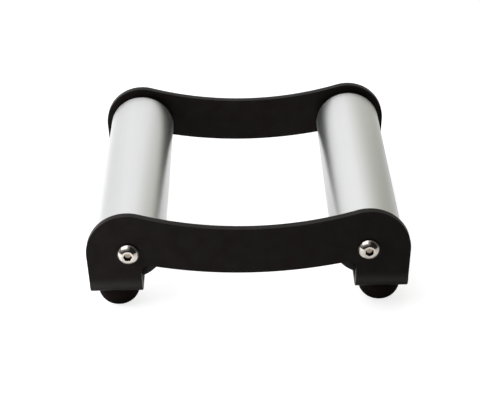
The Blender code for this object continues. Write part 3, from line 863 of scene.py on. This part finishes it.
def folded(plate, point, depth):
    """Where a point of the flat sheet lies after folding: x, distance inwards, height over the axles."""
    x, height = point
    run = plate.bend_start - height
    radius = plate.bend_outer - depth
    if run <= 0:
        return x, depth, height
    if run >= plate.bend_length:
        return x, plate.bend_outer + run - plate.bend_length, plate.bend_start - radius
    turn = run / plate.bend_length * math.pi / 2
    return x, plate.bend_outer - radius * math.cos(turn), plate.bend_start - radius * math.sin(turn)


def side_plate_mesh(plate):
    """The front side plate: a flat blank with its holes, folded at the two legs, its edges rounded."""
    hole_height = plate.bend_start - plate.bend_length - (OUTER_FACE - FOOT_Y - plate.bend_outer)
    loops = [plate_outline(plate)]
    for side in SIDES.values():
        loops.append(arc((side * AXLE_X, 0), plate.bolt_hole, 0, math.tau, steps=48)[:-1])
        loops.append(arc((side * FOOT_X, hole_height), plate.stud_hole, 0, math.tau, steps=40)[:-1])

    def fold(work):
        bmesh.ops.dissolve_limit(work, angle_limit=FLAT_ANGLE, verts=work.verts, edges=work.edges)
        for step in range(-FLAT_STEPS, FOLD_STEPS + 1):
            line = plate.bend_start - plate.bend_length * step / FOLD_STEPS
            bmesh.ops.bisect_plane(
                work, geom=work.verts[:] + work.edges[:] + work.faces[:], dist=WELD_DISTANCE,
                plane_co=(0, line, 0), plane_no=(0, 1, 0))
        for vertex in work.verts:
            x, inwards, height = folded(plate, vertex.co.xy, plate.thickness / 2 + vertex.co.z)
            vertex.co = (x, inwards - OUTER_FACE, height + AXLE_Z)
        bmesh.ops.recalc_face_normals(work, faces=work.faces)

    mesh = reworked(outline_mesh("side_plate", loops, plate.thickness), fold)
    obj = loose_object("side_plate", smoothed(mesh))
    round_edges(obj, plate.edge_round, segments=3)
    mesh = baked(obj, smooth=False)
    mask_by_place(mesh, "fold", lambda place: fold_gloss(plate, place))
    return mesh


def passed(value, start, end):
    """How much of the way from the start to the end a value has come, from 0 to 1."""
    return min(max((value - start) / (end - start), 0.0), 1.0)


def fold_gloss(plate, place):
    """How smooth the stretched coat is at a place, which is most on the upper part of the front fold."""
    run = PLATE_LOW.y + plate.bend_outer - place.y
    drop = PLATE_LOW.z + plate.bend_outer - place.z
    turn = math.atan2(drop, run) if drop > 0 else drop / plate.bend_outer
    rise = math.sin(passed(turn, *GLOSS_IN) * math.pi / 2)
    fall = math.cos(passed(turn, *GLOSS_OUT) * math.pi / 2)
    return rise ** 2 * fall ** 2 if run > 0 else 0.0


class RollersSidePlates(Operator):
    """Make the two folded side plates with their rounded, coated edges"""

    bl_idname = "bike_rollers.side_plates"
    bl_label = "Side Plates"

    def execute(self, context):
        mesh = side_plate_mesh(settings().plate)
        for end, turn in (("front", 0.0), ("rear", math.pi)):
            finished(f"side_plate_{end}", mesh, "powder_coat", "frame", Matrix.Rotation(turn, 4, "Z"))
        return {"FINISHED"}


# Feet and studs

# Depth of a screw thread as a share of its pitch
THREAD_DEPTH = 0.5


def rubber_dome(
        tree, radius, height, tread_radius, fullness, top_chamfer, recess_radius, recess_depth, sides, rings):
    """A moulded foot: a superellipse dome turned about Z, with a recess in its top."""
    inverse = 1.0 / fullness
    grid = geometry(tree, "MeshGrid", size_x=1.0, size_y=1.0, vertices_x=sides, vertices_y=rings)
    place = position(tree)
    turn = (part(place, "X") + 0.5) * math.tau
    sine = ((0.5 - part(place, "Y")) * (math.pi / 2)).to("SINE").to("MINIMUM", 1.0)
    reach = radius * (1.0 - sine ** fullness).to("MAXIMUM", 0.0) ** inverse
    lowest = (1.0 - (tread_radius / radius) ** fullness) ** inverse
    rise = (1.0 - sine / lowest).to("MAXIMUM", 0.0)
    dome = combined(
        tree, X=reach * turn.to("COSINE"), Y=reach * turn.to("SINE"), Z=(height - top_chamfer) * rise)
    shape = welded(geometry(tree, "SetPosition", geometry=grid, position=dome))

    recess_floor = height - recess_depth
    rims = (
        (radius - top_chamfer, height), (recess_radius, height), (recess_radius, recess_floor),
        (0.0, recess_floor))
    faces = wire(tree, "GeometryNodeInputMeshEdgeNeighbors", output="Face Count")
    rim = wire(tree, "FunctionNodeCompare", {2: faces, 3: 1}, data_type="INT", operation="EQUAL")
    for rim_radius, rim_height in rims:
        raised = add_node(tree, "GeometryNodeExtrudeMesh", {
            "Mesh": shape, "Selection": rim, "Offset Scale": 0.0}, mode="EDGES")
        rim = Wire(raised.outputs["Top"])
        point = position(tree)
        level = combined(tree, X=part(point, "X"), Y=part(point, "Y"))
        outwards = vector_maths(tree, "NORMALIZE", {0: level})
        ring = vector_maths(tree, "SCALE", {0: outwards, "Scale": rim_radius})
        target = vector_maths(tree, "ADD", {0: ring, 1: combined(tree, Z=rim_height)})
        raised_mesh = Wire(raised.outputs["Mesh"])
        shape = geometry(tree, "SetPosition", geometry=raised_mesh, selection=rim, position=target)
    return welded(shape)


def welded(shape):
    """The shape with its doubled points merged."""
    return geometry(shape.tree, "MergeByDistance", geometry=shape, distance=GROWN_WELD)


def swept(curve, profile, caps=False):
    """The profile swept along a curve, held upright."""
    upright = wire(curve.tree, "GeometryNodeSetCurveNormal", {"Curve": curve}, mode="Z_UP")
    return geometry(curve.tree, "CurveToMesh", curve=upright, profile_curve=profile, fill_caps=caps)


def lifted(shape, height):
    """The shape moved up."""
    return geometry(shape.tree, "Transform", geometry=shape, translation=combined(shape.tree, Z=height))


def screw_thread(tree, radius, pitch, bottom, top, steps):
    """A ridge that climbs round a core, to lie on a shank."""
    depth = pitch * THREAD_DEPTH
    core = radius - depth
    run = top - bottom - pitch
    helix = geometry(
        tree, "CurveSpiral", resolution=steps, rotations=run / pitch, start_radius=core, end_radius=core,
        height=run)
    ridge = geometry(tree, "CurvePrimitiveCircle", resolution=4, radius=depth)
    return lifted(swept(helix, ridge, True), bottom + depth)


def threaded(name, core, **sizes):
    """A turned core with the thread on its shank."""
    work = bmesh.new()
    work.from_mesh(core)
    work.from_mesh(grown(screw_thread, steps=28, **sizes))
    whole = bpy.data.meshes.new(name)
    work.to_mesh(whole)
    work.free()
    return smoothed(whole)


def stud_mesh(foot):
    """The stud: a round plate in the rubber, and a threaded pin through the flange."""
    core = foot.stud_radius - foot.stud_pitch * THREAD_DEPTH
    shoulder = STUD_TOP - foot.stud_chamfer
    plate_bottom = foot.height - foot.stud_plate
    profile = [
        (0, STUD_TOP), (core - foot.stud_chamfer, STUD_TOP), (core, shoulder), (core, foot.height),
        (foot.stud_plate_radius, foot.height), (foot.stud_plate_radius, plate_bottom), (0, plate_bottom)]
    solid = turned("foot_stud", profile, steps=64, closed=False, edge=foot.stud_edge)
    return threaded(
        "foot_stud", solid, radius=foot.stud_radius, pitch=foot.stud_pitch, bottom=foot.height, top=shoulder)


class RollersFeet(Operator):
    """Make the four rubber feet with their studs"""

    bl_idname = "bike_rollers.feet"
    bl_label = "Feet"

    def execute(self, context):
        foot = settings().foot
        rubber = grown(
            rubber_dome, radius=foot.radius, height=foot.height, tread_radius=foot.tread_radius,
            fullness=foot.fullness, top_chamfer=foot.top_chamfer, recess_radius=foot.recess_radius,
            recess_depth=foot.recess_depth, sides=97, rings=40)
        stud = turning_map(stud_mesh(foot))
        for end, depth in ENDS.items():
            for side, direction in SIDES.items():
                place = Matrix.Translation((direction * FOOT_X, depth * FOOT_Y, 0))
                finished(f"foot_{end}_{side}", rubber, "foot_rubber", "frame", place)
                finished(f"foot_stud_{end}_{side}", stud, "zinc", "frame", place)
        return {"FINISHED"}


# Rollers

def tube_mesh(tube):
    """The drawn tube, chamfered at its ends."""
    inner = tube.radius - tube.wall
    end = TUBE_HIGH.y
    shoulder = end - tube.chamfer
    profile = [
        (tube.radius - tube.chamfer, end), (tube.radius, shoulder), (tube.radius, -shoulder),
        (tube.radius - tube.chamfer, -end), (inner, -end), (inner, end)]
    return turned("roller_tube", profile, steps=160)


def cap_mesh(tube):
    """The end cap: a rim over the tube's end, a plug inside it, and the bearing's seat and groove."""
    rim = tube.radius - tube.rim_step
    plug = tube.radius - tube.wall - FIT
    outer = CAP_HIGH.y
    back = CAP_LOW.y
    wall_face = back + tube.back_wall
    bearing_back = wall_face + tube.ledge_height
    rim_back = outer - tube.cap_flange
    groove_back = SNAP_LOW.y - FIT
    groove_front = SNAP_HIGH.y + FIT
    profile = [
        (rim - tube.cap_chamfer, outer), (rim, outer - tube.cap_chamfer), (rim, rim_back), (plug, rim_back),
        (plug, back + tube.cap_chamfer), (plug - tube.cap_chamfer, back), (tube.wall_hole, back),
        (tube.wall_hole, wall_face), (tube.ledge_radius, wall_face), (tube.ledge_radius, bearing_back),
        (tube.seat_radius, bearing_back), (tube.seat_radius, groove_back), (tube.groove_radius, groove_back),
        (tube.groove_radius, groove_front), (tube.seat_radius, groove_front), (tube.seat_radius, outer)]
    return turned("end_cap", profile, steps=128, edge=tube.cap_edge)


class RollersRollers(Operator):
    """Make the two aluminium rollers with their end caps"""

    bl_idname = "bike_rollers.rollers"
    bl_label = "Rollers"

    def execute(self, context):
        tube = tube_mesh(settings().tube)
        cap = cap_mesh(settings().tube)
        for side in SIDES:
            body = f"roller_{side}"
            roller = finished(f"roller_tube_{side}", tube, "aluminium", body, axle_place(side, "rear"))
            card_receivers().objects.link(roller)
            for end in ENDS:
                finished(f"end_cap_{side}_{end}", cap, "cap_plastic", body, axle_place(side, end))
        return {"FINISHED"}


# Bearings

# A seal's groove: its depth as a share of the seal's thickness, and the distance of its lip and of its floor
# from the seal's rims as shares of the seal's half width
SEAL_GROOVE = 0.4
GROOVE_LIP = 0.3
GROOVE_FLOOR = 0.4

# Levels of the wave round the cage between which it rises from flat to round a ball
CUP_LEVELS = (-0.35, 0.95)


def ring_mesh(bearing, name, direction):
    """A ring of the bearing with its race and its seats for the seals: 1 outer ring, -1 inner ring."""
    shoulder = bearing.shoulder
    seat = shoulder + bearing.seal_step
    half_width = (RING_HIGH.y - RING_LOW.y) / 2
    seat_half = half_width - bearing.seal_seat
    race_radius = shoulder + bearing.race_depth + FIT
    half_angle = math.acos(shoulder / race_radius)
    side = [(seat, -half_width), (seat, -seat_half), (shoulder, -seat_half)]
    rising = side + arc((0, 0), race_radius, -half_angle, half_angle, steps=12)
    rising += [(reach, -height) for reach, height in reversed(side)]
    race = [(bearing.pitch + direction * reach, RING_MIDDLE + height) for reach, height in rising]
    if direction > 0:
        profile = [(bearing.outside, RING_HIGH.y), (bearing.outside, RING_LOW.y)] + race
    else:
        profile = race[::-1] + [(bearing.bore, RING_LOW.y), (bearing.bore, RING_HIGH.y)]
    return turned(name, profile, edge=bearing.ring_edge)


def seal_mesh(bearing, bottom):
    """A moulded seal with a shallow groove round its face."""
    reach = bearing.shoulder + bearing.seal_step - FIT
    inner = bearing.pitch - reach
    outer = bearing.pitch + reach
    top = bottom + bearing.seal_thickness
    groove = top - bearing.seal_thickness * SEAL_GROOVE
    profile = [
        (outer, top), (outer, bottom), (inner, bottom), (inner, top),
        (inner + reach * GROOVE_LIP, top), (inner + reach * GROOVE_FLOOR, groove),
        (outer - reach * GROOVE_FLOOR, groove), (outer - reach * GROOVE_LIP, top)]
    return turned("bearing_seal", profile, edge=bearing.seal_edge)


def ball_set(tree, ball_radius, pitch_radius, balls, cage_thickness, cage_width, middle):
    """The balls of a bearing on their pitch circle, held by two wavy pressed rings."""
    circle = geometry(tree, "MeshCircle", vertices=balls, radius=pitch_radius)
    ball = geometry(tree, "MeshUVSphere", segments=28, rings=14, radius=ball_radius)
    shapes = [geometry(tree, "InstanceOnPoints", points=circle, instance=ball)]

    ring = geometry(tree, "CurvePrimitiveCircle", resolution=160, radius=pitch_radius)
    place = position(tree)
    wave = (part(place, "Y").to("ARCTAN2", part(place, "X")) * balls).to("COSINE")
    cup = carried(wave, *CUP_LEVELS, **SOFTLY)
    half = cage_thickness * 0.5
    bulge = (cup * (ball_radius + half)).to("MAXIMUM", half)
    strip = geometry(tree, "CurvePrimitiveQuadrilateral", width=cage_width, height=cage_thickness)
    for way in (1.0, -1.0):
        offset = combined(tree, Z=bulge * way)
        bent = geometry(tree, "SetPosition", geometry=ring, offset=offset)
        shapes.append(swept(bent, strip))
    join = add_node(tree, "GeometryNodeJoinGeometry")
    for shape in shapes:
        feed(join, {0: shape})
    return lifted(Wire(join.outputs[0]), middle)


def snap_ring_mesh(bearing):
    """The snap ring: an open ring with a holed lug at each end."""
    outer = settings().tube.groove_radius - FIT
    inner = outer - bearing.snap_width
    lug = outer - bearing.snap_lug
    half_gap = bearing.snap_opening / 2
    lug_end = half_gap + bearing.snap_lug_angle
    loop = arc((0, 0), outer, half_gap, math.tau - half_gap, steps=90)
    loop += arc((0, 0), lug, math.tau - half_gap, math.tau - lug_end, steps=8)
    loop += arc((0, 0), inner, math.tau - lug_end, lug_end, steps=80)
    loop += arc((0, 0), lug, lug_end, half_gap, steps=8)
    loops = [loop]
    hole_turn = half_gap + bearing.snap_lug_angle / 2
    for turn in (hole_turn, -hole_turn):
        place = ((outer + lug) / 2 * math.cos(turn), (outer + lug) / 2 * math.sin(turn))
        loops.append(arc(place, bearing.snap_hole, 0, math.tau, steps=20)[:-1])
    flat = outline_mesh("snap_ring", loops, SNAP_HIGH.y - SNAP_LOW.y)
    flat.transform(Matrix.Translation((0, 0, (SNAP_HIGH.y + SNAP_LOW.y) / 2)))
    obj = loose_object("snap_ring", flat)
    round_edges(obj, bearing.snap_edge)
    return baked(obj, smooth=False)


class RollersBearings(Operator):
    """Make the rings, balls, seals and snap rings of the four bearings"""

    bl_idname = "bike_rollers.bearings"
    bl_label = "Bearings"

    def execute(self, context):
        bearing = settings().bearing
        outer_seal = seal_mesh(bearing, RING_HIGH.y - bearing.seal_inset - bearing.seal_thickness)
        inner_seal = seal_mesh(bearing, RING_LOW.y + bearing.seal_inset)
        balls = grown(
            ball_set, ball_radius=bearing.shoulder + bearing.race_depth, pitch_radius=bearing.pitch,
            balls=bearing.ball_count, cage_thickness=bearing.cage_thickness, cage_width=bearing.cage_width,
            middle=RING_MIDDLE)
        pieces = {
            "bearing_outer": (ring_mesh(bearing, "bearing_outer", 1), "ring_steel", "roller_{side}"),
            "bearing_inner": (ring_mesh(bearing, "bearing_inner", -1), "ring_steel", "frame"),
            "bearing_seal_outer": (outer_seal, "seal_rubber", "roller_{side}"),
            "bearing_seal_inner": (inner_seal, "seal_rubber", "roller_{side}"),
            "bearing_balls": (balls, "ball_steel", "ball_set_{side}_{end}"),
            "snap_ring": (snap_ring_mesh(bearing), "spring_steel", "roller_{side}")}
        for piece, (mesh, finish, body) in pieces.items():
            turning_map(mesh)
            for side in SIDES:
                for end in ENDS:
                    finished(
                        f"{piece}_{side}_{end}", mesh, finish, body.format(side=side, end=end),
                        axle_place(side, end))
        return {"FINISHED"}


# Axles, spacers and bolts

# The radii of the drilled cone, and of all of the socket, as shares of the socket's corner radius
DRILL_SHARE = 0.86
SOCKET_SHARE = 1.02


def axle_mesh(axle):
    """The fixed axle: a bar with a threaded hole at each end."""
    end = AXLE_HIGH.y
    depth = BOLT_LOW.y - axle.hole_rest
    half = [
        (0, depth - axle.hole * math.tan(axle.drill_slope)), (axle.hole, depth), (axle.hole, end),
        (axle.radius - axle.chamfer, end), (axle.radius, end - axle.chamfer)]
    other = [(radius, -height) for radius, height in reversed(half)]
    return turned("axle", half + other, closed=False)


def spacer_mesh(axle):
    """The spacer between the bearing's inner ring and the plate."""
    inner = axle.radius + FIT
    outer = inner + axle.spacer_wall
    profile = [(outer, SPACER_HIGH.y), (outer, SPACER_LOW.y), (inner, SPACER_LOW.y), (inner, SPACER_HIGH.y)]
    return turned("axle_spacer", profile, edge=axle.spacer_edge)


def bolt_mesh(axle, turn):
    """The button-head bolt: a domed head with a chamfered hexagon socket, and a threaded shank."""
    crown = BOLT_HIGH.y
    seat = crown - axle.head_height
    tip = BOLT_LOW.y
    neck = OUTER_FACE - axle.bolt_neck
    core = axle.bolt_radius - axle.bolt_pitch * THREAD_DEPTH
    spread = axle.head_radius ** 2 - axle.head_flat ** 2
    centre = ((axle.head_height + axle.head_rim) - spread / (axle.head_height - axle.head_rim)) / 2
    top = Vector((axle.head_flat, axle.head_height - centre))
    rim = Vector((axle.head_radius, axle.head_rim - centre))
    dome = arc(
        (0, seat + centre), rim.length, math.atan2(top.y, top.x), math.atan2(rim.y, rim.x), steps=24)
    shank = [
        (axle.head_radius, seat + axle.head_chamfer), (axle.head_radius - axle.head_chamfer, seat),
        (axle.bolt_radius, seat), (axle.bolt_radius, neck), (core, neck - axle.bolt_taper),
        (core, tip + axle.bolt_taper), (core - axle.bolt_taper, tip), (0, tip)]
    solid = loose_object("axle_bolt", turned("axle_bolt", [(0, crown)] + dome + shank, closed=False))

    corner = axle.socket_width / math.sqrt(3)
    floor = crown - axle.socket_depth
    mouth = crown - axle.mouth_depth
    wide = corner + axle.mouth_reach
    tools = [
        prism("socket", 6, corner, corner, floor, crown + axle.mouth_depth, turn),
        prism("drill", 48, 0.0, corner * DRILL_SHARE, floor - axle.drill_depth, floor + OVERCUT, 0.0),
        prism("mouth", 6, corner - 2 * OVERCUT, wide, mouth, crown + OVERCUT, turn)]
    for tool in tools:
        modify(solid, tool.name, "BOOLEAN", operation="DIFFERENCE", solver="EXACT", object=tool)
    mesh = baked(solid)
    for tool in tools:
        bpy.data.objects.remove(tool, do_unlink=True)
    bolt = threaded(
        "axle_bolt", mesh, radius=axle.bolt_radius, pitch=axle.bolt_pitch, bottom=tip + axle.thread_start,
        top=neck - axle.bolt_taper)
    lowest = floor - axle.socket_depth

    def recess_depth(place):
        """How deep a place in the recess lies under the mouth, and -1 outside the recess."""
        inside = math.hypot(place.x, place.y) < corner * SOCKET_SHARE and place.z > lowest
        return mouth - place.z if inside else -1.0

    mask_by_place(bolt, "recess_depth", recess_depth)
    return bolt


def prism(name, sides, bottom_radius, top_radius, bottom, top, turn):
    """A prism or cone about Z as an object, with a corner on +X before its turn."""
    def build(work):
        bmesh.ops.create_cone(
            work, cap_ends=True, segments=sides, radius1=bottom_radius, radius2=top_radius,
            depth=top - bottom, matrix=Matrix.Translation((0, 0, (top + bottom) / 2)))
        spin = Matrix.Rotation(math.pi / 2 + turn, 4, "Z")
        bmesh.ops.rotate(work, verts=work.verts, matrix=spin, cent=(0, 0, 0))
        bmesh.ops.remove_doubles(work, verts=work.verts, dist=WELD_DISTANCE)

    return loose_object(name, reworked(bpy.data.meshes.new(name), build))


class RollersAxles(Operator):
    """Make the two axles with their spacers and button-head bolts"""

    bl_idname = "bike_rollers.axles"
    bl_label = "Axles"

    def execute(self, context):
        axle = settings().axle
        bar = turning_map(axle_mesh(axle))
        spacer = turning_map(spacer_mesh(axle))
        turns = {"left": axle.left_turn, "right": axle.right_turn}
        for side in SIDES:
            bolt = turning_map(bolt_mesh(axle, turns[side]))
            finished(f"axle_{side}", bar, "axle_steel", "frame", axle_place(side, "rear"))
            for end in ENDS:
                place = axle_place(side, end)
                finished(f"axle_spacer_{side}_{end}", spacer, "zinc", "frame", place)
                finished(f"axle_bolt_{side}_{end}", bolt, "stainless", "frame", place)
        return {"FINISHED"}


# Stage

# Where the lamps stand, and where the softbox has its upper side
SOFTBOX_PLACE = (-1.21, -0.38, 2.04)
SOFTBOX_UPRIGHT = (0.12, 0.96, 0.25)
FILL_PLACE = (-0.30, -0.20, 0.14)
CARD_PLACE = (0, -2.2, 0.95)

# Levels of the floor to the camera and in reflections
FLOOR_SEEN = 0.78
FLOOR_MIRRORED = 0.82

# Falls of brightness over the stage, each as two places or directions and the levels there. On the floor they
# are painted light and painted shadow in its glow in reflections
FLOOR_FALL = (-0.30, 0.35, 1.0, 0.22)
FLOOR_NEARNESS = (0.150, 0.260, 1.18, 0.95)
FLANGE_SHADE_X = (0.018, 0.030, 0.05, 1.0)
FLANGE_SHADE_Y = (0.0165, 0.046, 0.05, 1.0)
BACKDROP_LEFT = (-0.22, -0.35, 1.0, 0.89)
BACKDROP_COOL = (0.05, 0.35, 1.0, 0.0)

# The same for the falls whose levels are settings
BACKDROP_RIGHT = (0.05, 0.43)
ROOM_FRONT = (-0.25, 0.45)
ROOM_RIGHT = (0.02, 0.55)

WHITE = (1.0, 1.0, 1.0, 1.0)
WARM_WHITE = (1.0, 1.0, 0.89, 1.0)


def camera_turn(stage):
    """The camera's rotation from its yaw, pitch and roll."""
    tilt = Matrix.Rotation(math.pi / 2 - stage.camera_pitch, 4, "X")
    return Matrix.Rotation(-stage.camera_yaw, 4, "Z") @ tilt @ Matrix.Rotation(stage.camera_roll, 4, "Z")


def ray(tree, kind):
    """1 for rays of one kind and 0 for all others."""
    return wire(tree, "ShaderNodeLightPath", output=f"Is {kind} Ray")


def floor_material(base):
    """A pale matte floor: white to the camera, with the object's shadow on it. In reflections it glows, with
    painted light falling off to the right and away from the stand, and painted shadow under each flange.
    """
    finish, shader = new_finish("studio_floor", metallic=0.0, specular=0.0, roughness=0.9)
    tree = finish.node_tree
    place = object_place(tree)
    level = carried(part(place, "X"), *FLOOR_FALL) * carried(part(place, "Y").to("ABSOLUTE"), *FLOOR_NEARNESS)
    # Painted shadow in the floor's reflected glow under each foot's flange
    flange_shadows = []
    for axis, middle, shade in (("X", FOOT_X, FLANGE_SHADE_X), ("Y", FOOT_Y, FLANGE_SHADE_Y)):
        away = (part(place, axis).to("ABSOLUTE") - middle).to("ABSOLUTE")
        flange_shadows.append(carried(away, *shade))
    mirrored = ray(tree, "Glossy") * level * flange_shadows[0].to("MAXIMUM", flange_shadows[1]) * FLOOR_MIRRORED
    feed(shader, {
        "Base Color": (*base, 1), "Emission Color": WHITE,
        "Emission Strength": ray(tree, "Camera") * FLOOR_SEEN + mirrored})
    return finish


def backdrop_material(stage):
    """A lit sheet that shows only in reflections, where it falls off and turns warmer to the right."""
    finish = bpy.data.materials.new("studio_backdrop")
    finish.use_nodes = True
    tree = finish.node_tree
    tree.nodes.clear()
    across = part(object_place(tree), "X")
    level = carried(across, *BACKDROP_RIGHT, 1.0, stage.right_share) * carried(across, *BACKDROP_LEFT)
    tint = blend(carried(across, *BACKDROP_COOL), WARM_WHITE, WHITE)
    glow = wire(tree, "ShaderNodeEmission", {"Color": tint, "Strength": level})
    add_node(tree, "ShaderNodeOutputMaterial", {"Surface": glow})
    return finish


def stage_sheet(name, width, depth, finish, place=Matrix.Identity(4)):
    """A flat sheet of the stage, as an object."""
    sheet = bpy.data.meshes.new(name)
    corners = [(x * width, y * depth, 0) for x, y in ((-0.5, -0.5), (0.5, -0.5), (0.5, 0.5), (-0.5, 0.5))]
    sheet.from_pydata(corners, [], [(0, 1, 2, 3)])
    sheet.transform(place)
    sheet.materials.append(finish)
    obj = loose_object(name, sheet)
    return obj


def studio_world(stage):
    """White to the camera. In reflections, a pale room behind the stand and a dim one in front of it."""
    world = bpy.data.worlds.new("studio")
    bpy.context.scene.world = world
    world.use_nodes = True
    tree = world.node_tree
    tree.nodes.clear()
    direction = wire(tree, "ShaderNodeTexCoord", output="Generated")
    front = carried(part(direction, "Y"), *ROOM_FRONT, stage.room_level, 1.0, **SOFTLY)
    right = carried(part(direction, "X"), *ROOM_RIGHT, 1.0, stage.right_share, **SOFTLY)
    level = (front * right).to("MAXIMUM", ray(tree, "Camera"))
    background = wire(tree, "ShaderNodeBackground", {"Color": WHITE, "Strength": level})
    add_node(tree, "ShaderNodeOutputWorld", {"Surface": background})


def area_lamp(name, place, upright, width, height, watts):
    """An area lamp that looks at the stand, with its height along the upright."""
    lamp = bpy.data.lights.new(name, "AREA")
    lamp.shape = "RECTANGLE"
    lamp.size = width
    lamp.size_y = height
    lamp.energy = watts
    back = Vector(place).normalized()
    across = Vector(upright).cross(back).normalized()
    turn = Matrix((across, back.cross(across), back)).transposed().to_4x4()
    obj = loose_object(name, lamp)
    obj.matrix_world = Matrix.Translation(place) @ turn
    return obj


def card_receivers():
    """The collection of the pieces that the front card lights."""
    name = "front_card_receivers"
    return bpy.data.collections.get(name) or bpy.data.collections.new(name)


class RollersStudio(Operator):
    """Make the camera, the pale floor, the backdrop, the world and the lamps"""

    bl_idname = "bike_rollers.studio"
    bl_label = "Studio"

    def execute(self, context):
        stage = settings().stage
        scene = context.scene
        scene.view_settings.view_transform = "Standard"
        camera = bpy.data.cameras.new("camera")
        camera.sensor_width = 36
        camera.lens = stage.lens
        scene.camera = loose_object("camera", camera)
        scene.camera.matrix_world = Matrix.Translation(stage.camera_place) @ camera_turn(stage)

        stage_sheet("floor", stage.floor_size, stage.floor_size, floor_material(settings().finish.floor))
        stands = Matrix.Translation((0, stage.backdrop_distance, stage.backdrop_height / 2))
        backdrop = stage_sheet(
            "backdrop", stage.backdrop_width, stage.backdrop_height, backdrop_material(stage),
            stands @ Matrix.Rotation(math.pi / 2, 4, "X"))
        backdrop.visible_camera = False
        studio_world(stage)

        width, height = stage.softbox_width, stage.softbox_height
        area_lamp("softbox", SOFTBOX_PLACE, SOFTBOX_UPRIGHT, width, height, stage.softbox_power)
        area_lamp("softbox_spill", SOFTBOX_PLACE, SOFTBOX_UPRIGHT, 2 * width, 2 * height, stage.spill_power)
        fill = area_lamp("fill", FILL_PLACE, (0, 0, 1), stage.fill_size, stage.fill_size, stage.fill_power)
        fill.visible_glossy = False
        fill.visible_camera = False
        card = area_lamp(
            "front_card", CARD_PLACE, (0, 0, 1), stage.card_width, stage.card_height, stage.card_power)
        card.visible_camera = False
        card.light_linking.receiver_collection = card_receivers()
        return {"FINISHED"}


class RollersPanel(Panel):
    """Buttons for each group of pieces"""

    bl_idname = "VIEW3D_PT_bike_rollers"
    bl_label = "Bike Rollers"
    bl_space_type = "VIEW_3D"
    bl_region_type = "UI"
    bl_category = "Bike Rollers"

    def draw(self, context):
        for operator in MAKERS:
            self.layout.operator(operator.bl_idname)


GROUPS = (
    RollersPlateSizes, RollersFootSizes, RollersTubeSizes, RollersBearingSizes, RollersAxleSizes,
    RollersFinishes, RollersStage, RollersSettings)
MAKERS = (RollersStudio, RollersSidePlates, RollersFeet, RollersRollers, RollersBearings, RollersAxles)


def register():
    """Add the classes and the settings to Blender."""
    for item in GROUPS + MAKERS + (RollersPanel,):
        bpy.utils.register_class(item)
    bpy.types.Scene.bike_rollers = PointerProperty(type=RollersSettings)


def unregister():
    """Remove what register added."""
    del bpy.types.Scene.bike_rollers
    for item in reversed(GROUPS + MAKERS + (RollersPanel,)):
        bpy.utils.unregister_class(item)


def main():
    """Register the add-on, and make the studio and every piece."""
    register()
    bpy.ops.bike_rollers.studio()
    bpy.ops.bike_rollers.side_plates()
    bpy.ops.bike_rollers.feet()
    bpy.ops.bike_rollers.rollers()
    bpy.ops.bike_rollers.bearings()
    bpy.ops.bike_rollers.axles()


if __name__ == "__main__":
    main()
